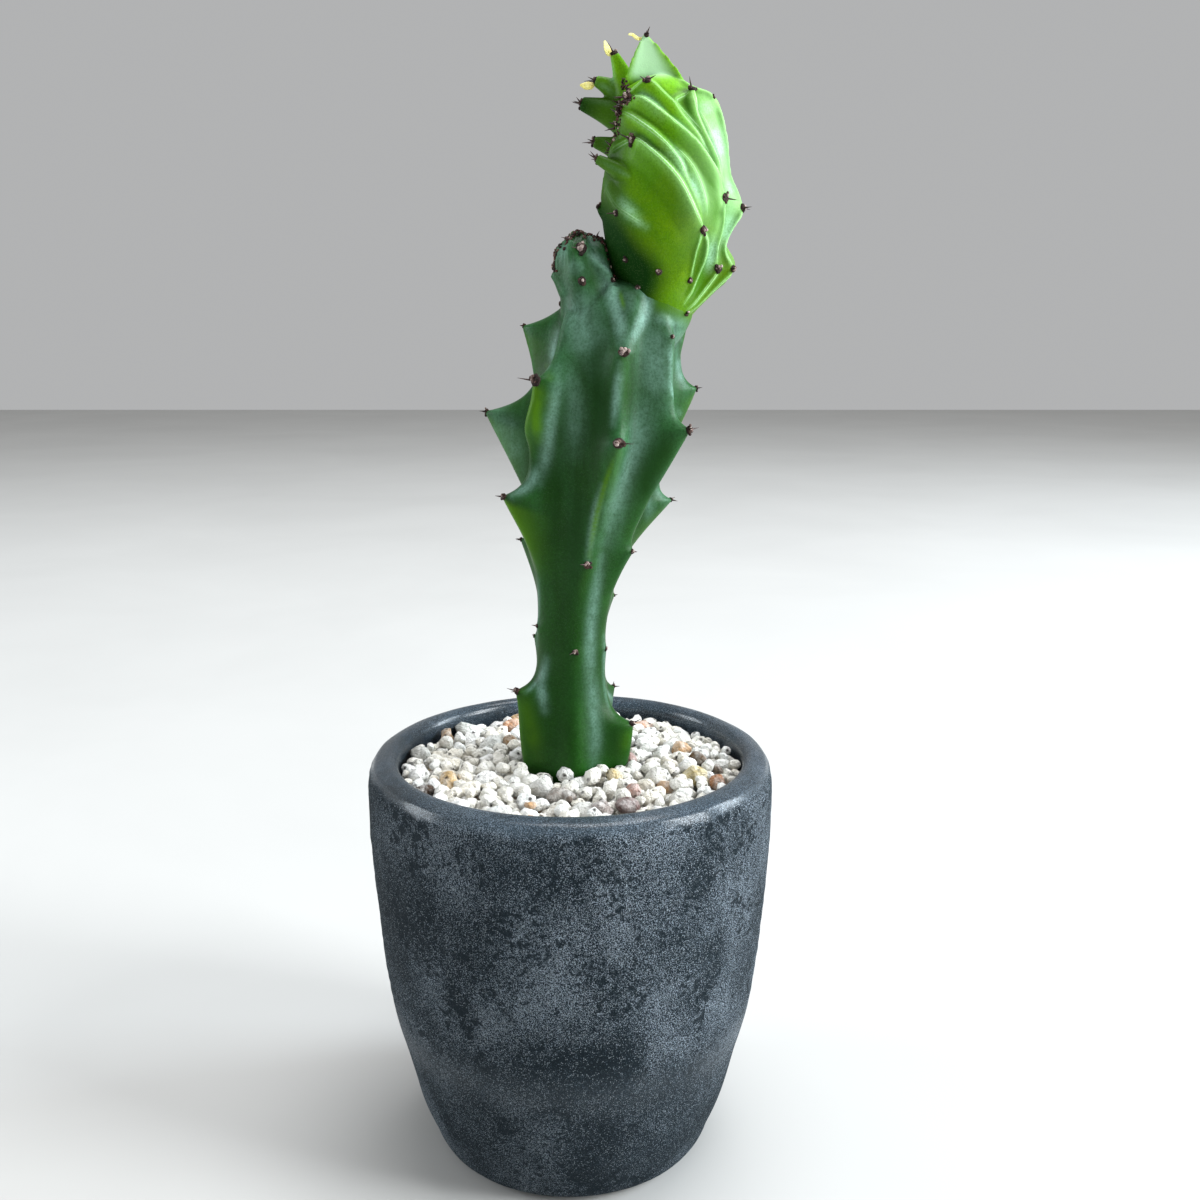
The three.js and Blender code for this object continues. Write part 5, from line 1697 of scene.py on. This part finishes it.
def crest_finish():
    """Lime skin with painted highlights in pale mint places and along its folds, painted shade in its
    hollows, and a dark foot, partly dark skin and partly painted shade.
    """
    f = Finish("lime_green_skin", specular_ior_level=0.08)
    fold_highlight = f.mark("fold_highlight")
    across = f.mark("across")
    ridge = f.ramp(f.mark("ridge"), -0.7, 0.9)
    pores = skin_relief(f, 0.7)
    stipple = f.ramp(f.flecks(1900, 0.3)["Grain"], 0.34, 0.56, 0.45, 1)
    right, up = f.along("X"), f.along("Z")
    skin = f.mix(f.ramp(up, 0.268, 0.310), paint("4e7a00"), paint("68a806"))
    skin = f.over(skin, f.times(f.ramp(up, 0.292, 0.302), f.ramp(right, 0.014, 0.019)), "6fb312", 0.6)
    skin = f.over(skin, f.patches(90, 0.4, 0.65), "739400", 0.4)
    skin = f.over(skin, f.ramp(stipple, 0.45, 1, 0.3, 0), "2a5200")
    # Painted highlight: the right side paler mint, where the light falls
    skin = f.over(skin, f.times(f.ramp(right, 0.028, 0.044), f.ramp(up, 0.262, 0.282)), "9cd68e", 0.65)
    # Painted shade in the hollows below the smoothed surface
    skin = f.over(skin, f.ramp(ridge, 0.5, 0.15, 0, 0.8), "1c4702")
    # Painted shade on the folds' flanks and in their creases
    skin = f.over(skin, f.mark("dark"), "265c04", 0.75)
    # Painted shade at the drawn shade places
    skin = f.over(skin, f.mark("shade"), "3c7404", 0.8)
    # Painted highlights at the pale mint places
    skin = f.over(skin, f.times(f.ragged(f.mark("mint"), 380, 0.4), stipple), "aadfb8", 0.78)
    # Painted highlights along the folds: a pale mint sheen and thin pale lines
    skin = f.over(skin, f.times(fold_highlight, stipple), "8cc97c", 0.7)
    thread = f.ramp(f.math("PINGPONG", f.plus(across, 0.45), 0.32), 0.11, 0.02)
    lined = f.times(f.ramp(across, -1.2, -0.9), f.ramp(across, 0.4, 0.1))
    skin = f.over(skin, f.times(thread, lined, fold_highlight), "d2f0cc", 0.85)
    # Painted highlight on the proudest parts
    skin = f.over(skin, f.ramp(ridge, 0.7, 1, 0, 0.4), "a0d386")
    # The mark named old is painted shade on the fingers at the left, lighter on their proud parts
    old = f.mix(ridge, paint("1f3c02"), paint("3d6a12"))
    skin = f.mix(f.times(f.mark("old"), 0.85), skin, old)
    # Painted highlight in the middle of the top leaf's face
    skin = f.over(skin, f.mark("leaf"), "bfeabf", 0.75)
    # The dark foot: skin as dark as the stem's, with painted shade
    foot = f.mark("foot")
    skin = f.mix(foot, skin, f.mix(pores["Grain"], paint("052a01"), paint("0b3602")))
    skin = f.over(skin, pores["Spots"], "b5d88c", 0.08)
    f.link(skin, "Base Color")
    f.link(f.plus(f.ramp(pores["Grain"], 0.3, 0.7, 0.32, 0.44), f.times(foot, 0.35)), "Roughness")
    return f.material


def pad_finish():
    """Corky pads and dried crust, each lump with its own tint."""
    f = Finish("corky_pad", roughness=0.85, specular_ior_level=0.3)
    grain = f.flecks(3200, 0.3)["Grain"]
    tint = f.tint()
    darker = f.mix(1.0, tint, paint("6a5a50"), "MULTIPLY")
    f.link(f.mix(f.times(grain, 0.6), tint, darker), "Base Color")
    f.relief(grain, 0.0003, 0.8)
    return f.material


def spine_finish():
    """Dark brown spines, streaked lighter."""
    f = Finish("dark_spine", roughness=0.5)
    streak = f.patches(900, 0.35, 0.7)
    f.link(f.mix(streak, paint("1d1210"), paint("4a2a22")), "Base Color")
    return f.material


def remnant_finish():
    """Pale yellow dried leaf tips with brown flecks."""
    f = Finish("dried_leaf", roughness=0.6)
    veins = f.patches(700, 0.3, 0.7)
    skin = f.mix(veins, paint("e2d45e"), paint("f0ea9a"))
    f.link(f.over(skin, f.flecks(1500, 0.2)["Spots"], "a8842f", 0.6), "Base Color")
    f.relief(veins, 0.0002)
    return f.material


def soil_finish():
    """Dark crumbly potting soil with paler specks."""
    f = Finish("potting_soil", roughness=0.95)
    crumbs = f.flecks(420, 0.3)
    body = f.mix(crumbs["Grain"], paint("241a13"), paint("4a3828"))
    f.link(f.over(body, crumbs["Spots"], "7c6a52", 0.6), "Base Color")
    f.relief(crumbs["Grain"], 0.002)
    return f.material


def net_finish():
    """Black moulded net with a dull bloom."""
    f = Finish("net_plastic", roughness=0.55)
    haze = f.patches(300, 0.3, 0.7)
    f.link(f.mix(haze, paint("17181a"), paint("2a2b2d")), "Base Color")
    f.relief(haze, 0.0002)
    return f.material


def clad(name, finish):
    """Gives a kept solid its finish."""
    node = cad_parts[name]
    node.data.materials.clear()
    node.data.materials.append(finish)


# Studio

FLOOR_HALF_WIDTH = 4.0
FLOOR_DROP = 0.0002
LIGHTS_AIM = Vector((0.01, 0, 0.2))

# The lights, by name: place and size in metres, power in watts and colour
SOFTBOXES = dict(
    right_window=((2.1, -0.75, 1.15), (0.7, 1.5), 84, (0.92, 0.97, 1)),
    right_side_window=((2.0, 0.4, 0.9), (0.6, 1.2), 46, (0.8, 0.91, 1)),
    left_window=((-2.1, 0.1, 0.7), (0.7, 1.1), 26, (0.86, 0.94, 1)),
    sky_panel=((0.3, 0.3, 2.4), (1.4, 1.4), 46, (0.95, 0.97, 1)),
)
SKY_GLOW = 0.55


def make_floor():
    """The pale floor under the pot."""
    finish = Finish("pale_floor", roughness=0.7)
    cloud = finish.patches(3, 0.3, 0.7)
    finish.link(finish.mix(cloud, paint("b9b8b5"), paint("bfbebb")), "Base Color")
    mesh = bpy.data.meshes.new("floor")
    size = FLOOR_HALF_WIDTH
    corners = [(-size, -size, 0), (size, -size, 0), (size, size, 0), (-size, size, 0)]
    mesh.from_pydata(corners, [], [(0, 1, 2, 3)])
    mesh.materials.append(finish.material)
    floor = bpy.data.objects.new("floor", mesh)
    floor.location.z = -FLOOR_DROP
    bpy.context.scene.collection.objects.link(floor)


def softbox(name, place, size, power, tint):
    """A rectangular light that faces the plant."""
    data = bpy.data.lights.new(name, "AREA")
    data.shape = "RECTANGLE"
    data.size, data.size_y = size
    data.energy = power
    data.color = tint
    light = bpy.data.objects.new(name, data)
    light.location = place
    light.rotation_euler = (LIGHTS_AIM - light.location).to_track_quat("-Z", "Y").to_euler()
    bpy.context.scene.collection.objects.link(light)


def make_studio():
    """The floor, the lights and an even sky."""
    make_floor()
    for name, (place, size, power, tint) in SOFTBOXES.items():
        softbox(name, place, size, power, tint)
    world = bpy.data.worlds.new("studio")
    world.use_nodes = True
    background = world.node_tree.nodes["Background"]
    background.inputs["Color"].default_value = paint("e8e9ea")
    background.inputs["Strength"].default_value = SKY_GLOW
    bpy.context.scene.world = world
    bpy.context.scene.view_settings.view_transform = "Standard"


# The whole plant in its pot

def dress(piece, finish, node):
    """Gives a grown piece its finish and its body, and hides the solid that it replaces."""
    piece.data.materials.clear()
    piece.data.materials.append(finish)
    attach(piece, "root")
    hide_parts(node)


corky = pad_finish()
thorny = spine_finish()
make_pot(cement_finish())
make_grit(pumice_finish())
stem = make_stem()
dress(stem, stem_finish(), "stem")
crest = make_crest()
dress(crest, crest_finish(), "crest")

stem_skin = surface_of(stem)
crest_skin = surface_of(crest)
stem_areoles = Areoles(SEED + 1)
add_stem_areoles(stem_areoles, stem_skin)
add_crust(stem_areoles, stem_skin, STUB_MARGIN, **STUB_CRUST)
stem_areoles.make("stem", corky, thorny)
crest_areoles = Areoles(SEED + 2)
add_crest_areoles(crest_areoles, crest_skin)
growing_line = [seen_on(crest_skin, pixel)[0] for pixel in GROWING_LINE]
add_crust(crest_areoles, crest_skin, growing_line, **CREST_CRUST)
crest_areoles.make("crest", corky, thorny)
make_leaf_remnants(remnant_finish())
clad("potting_soil", soil_finish())
clad("drain_screen", net_finish())
make_studio()
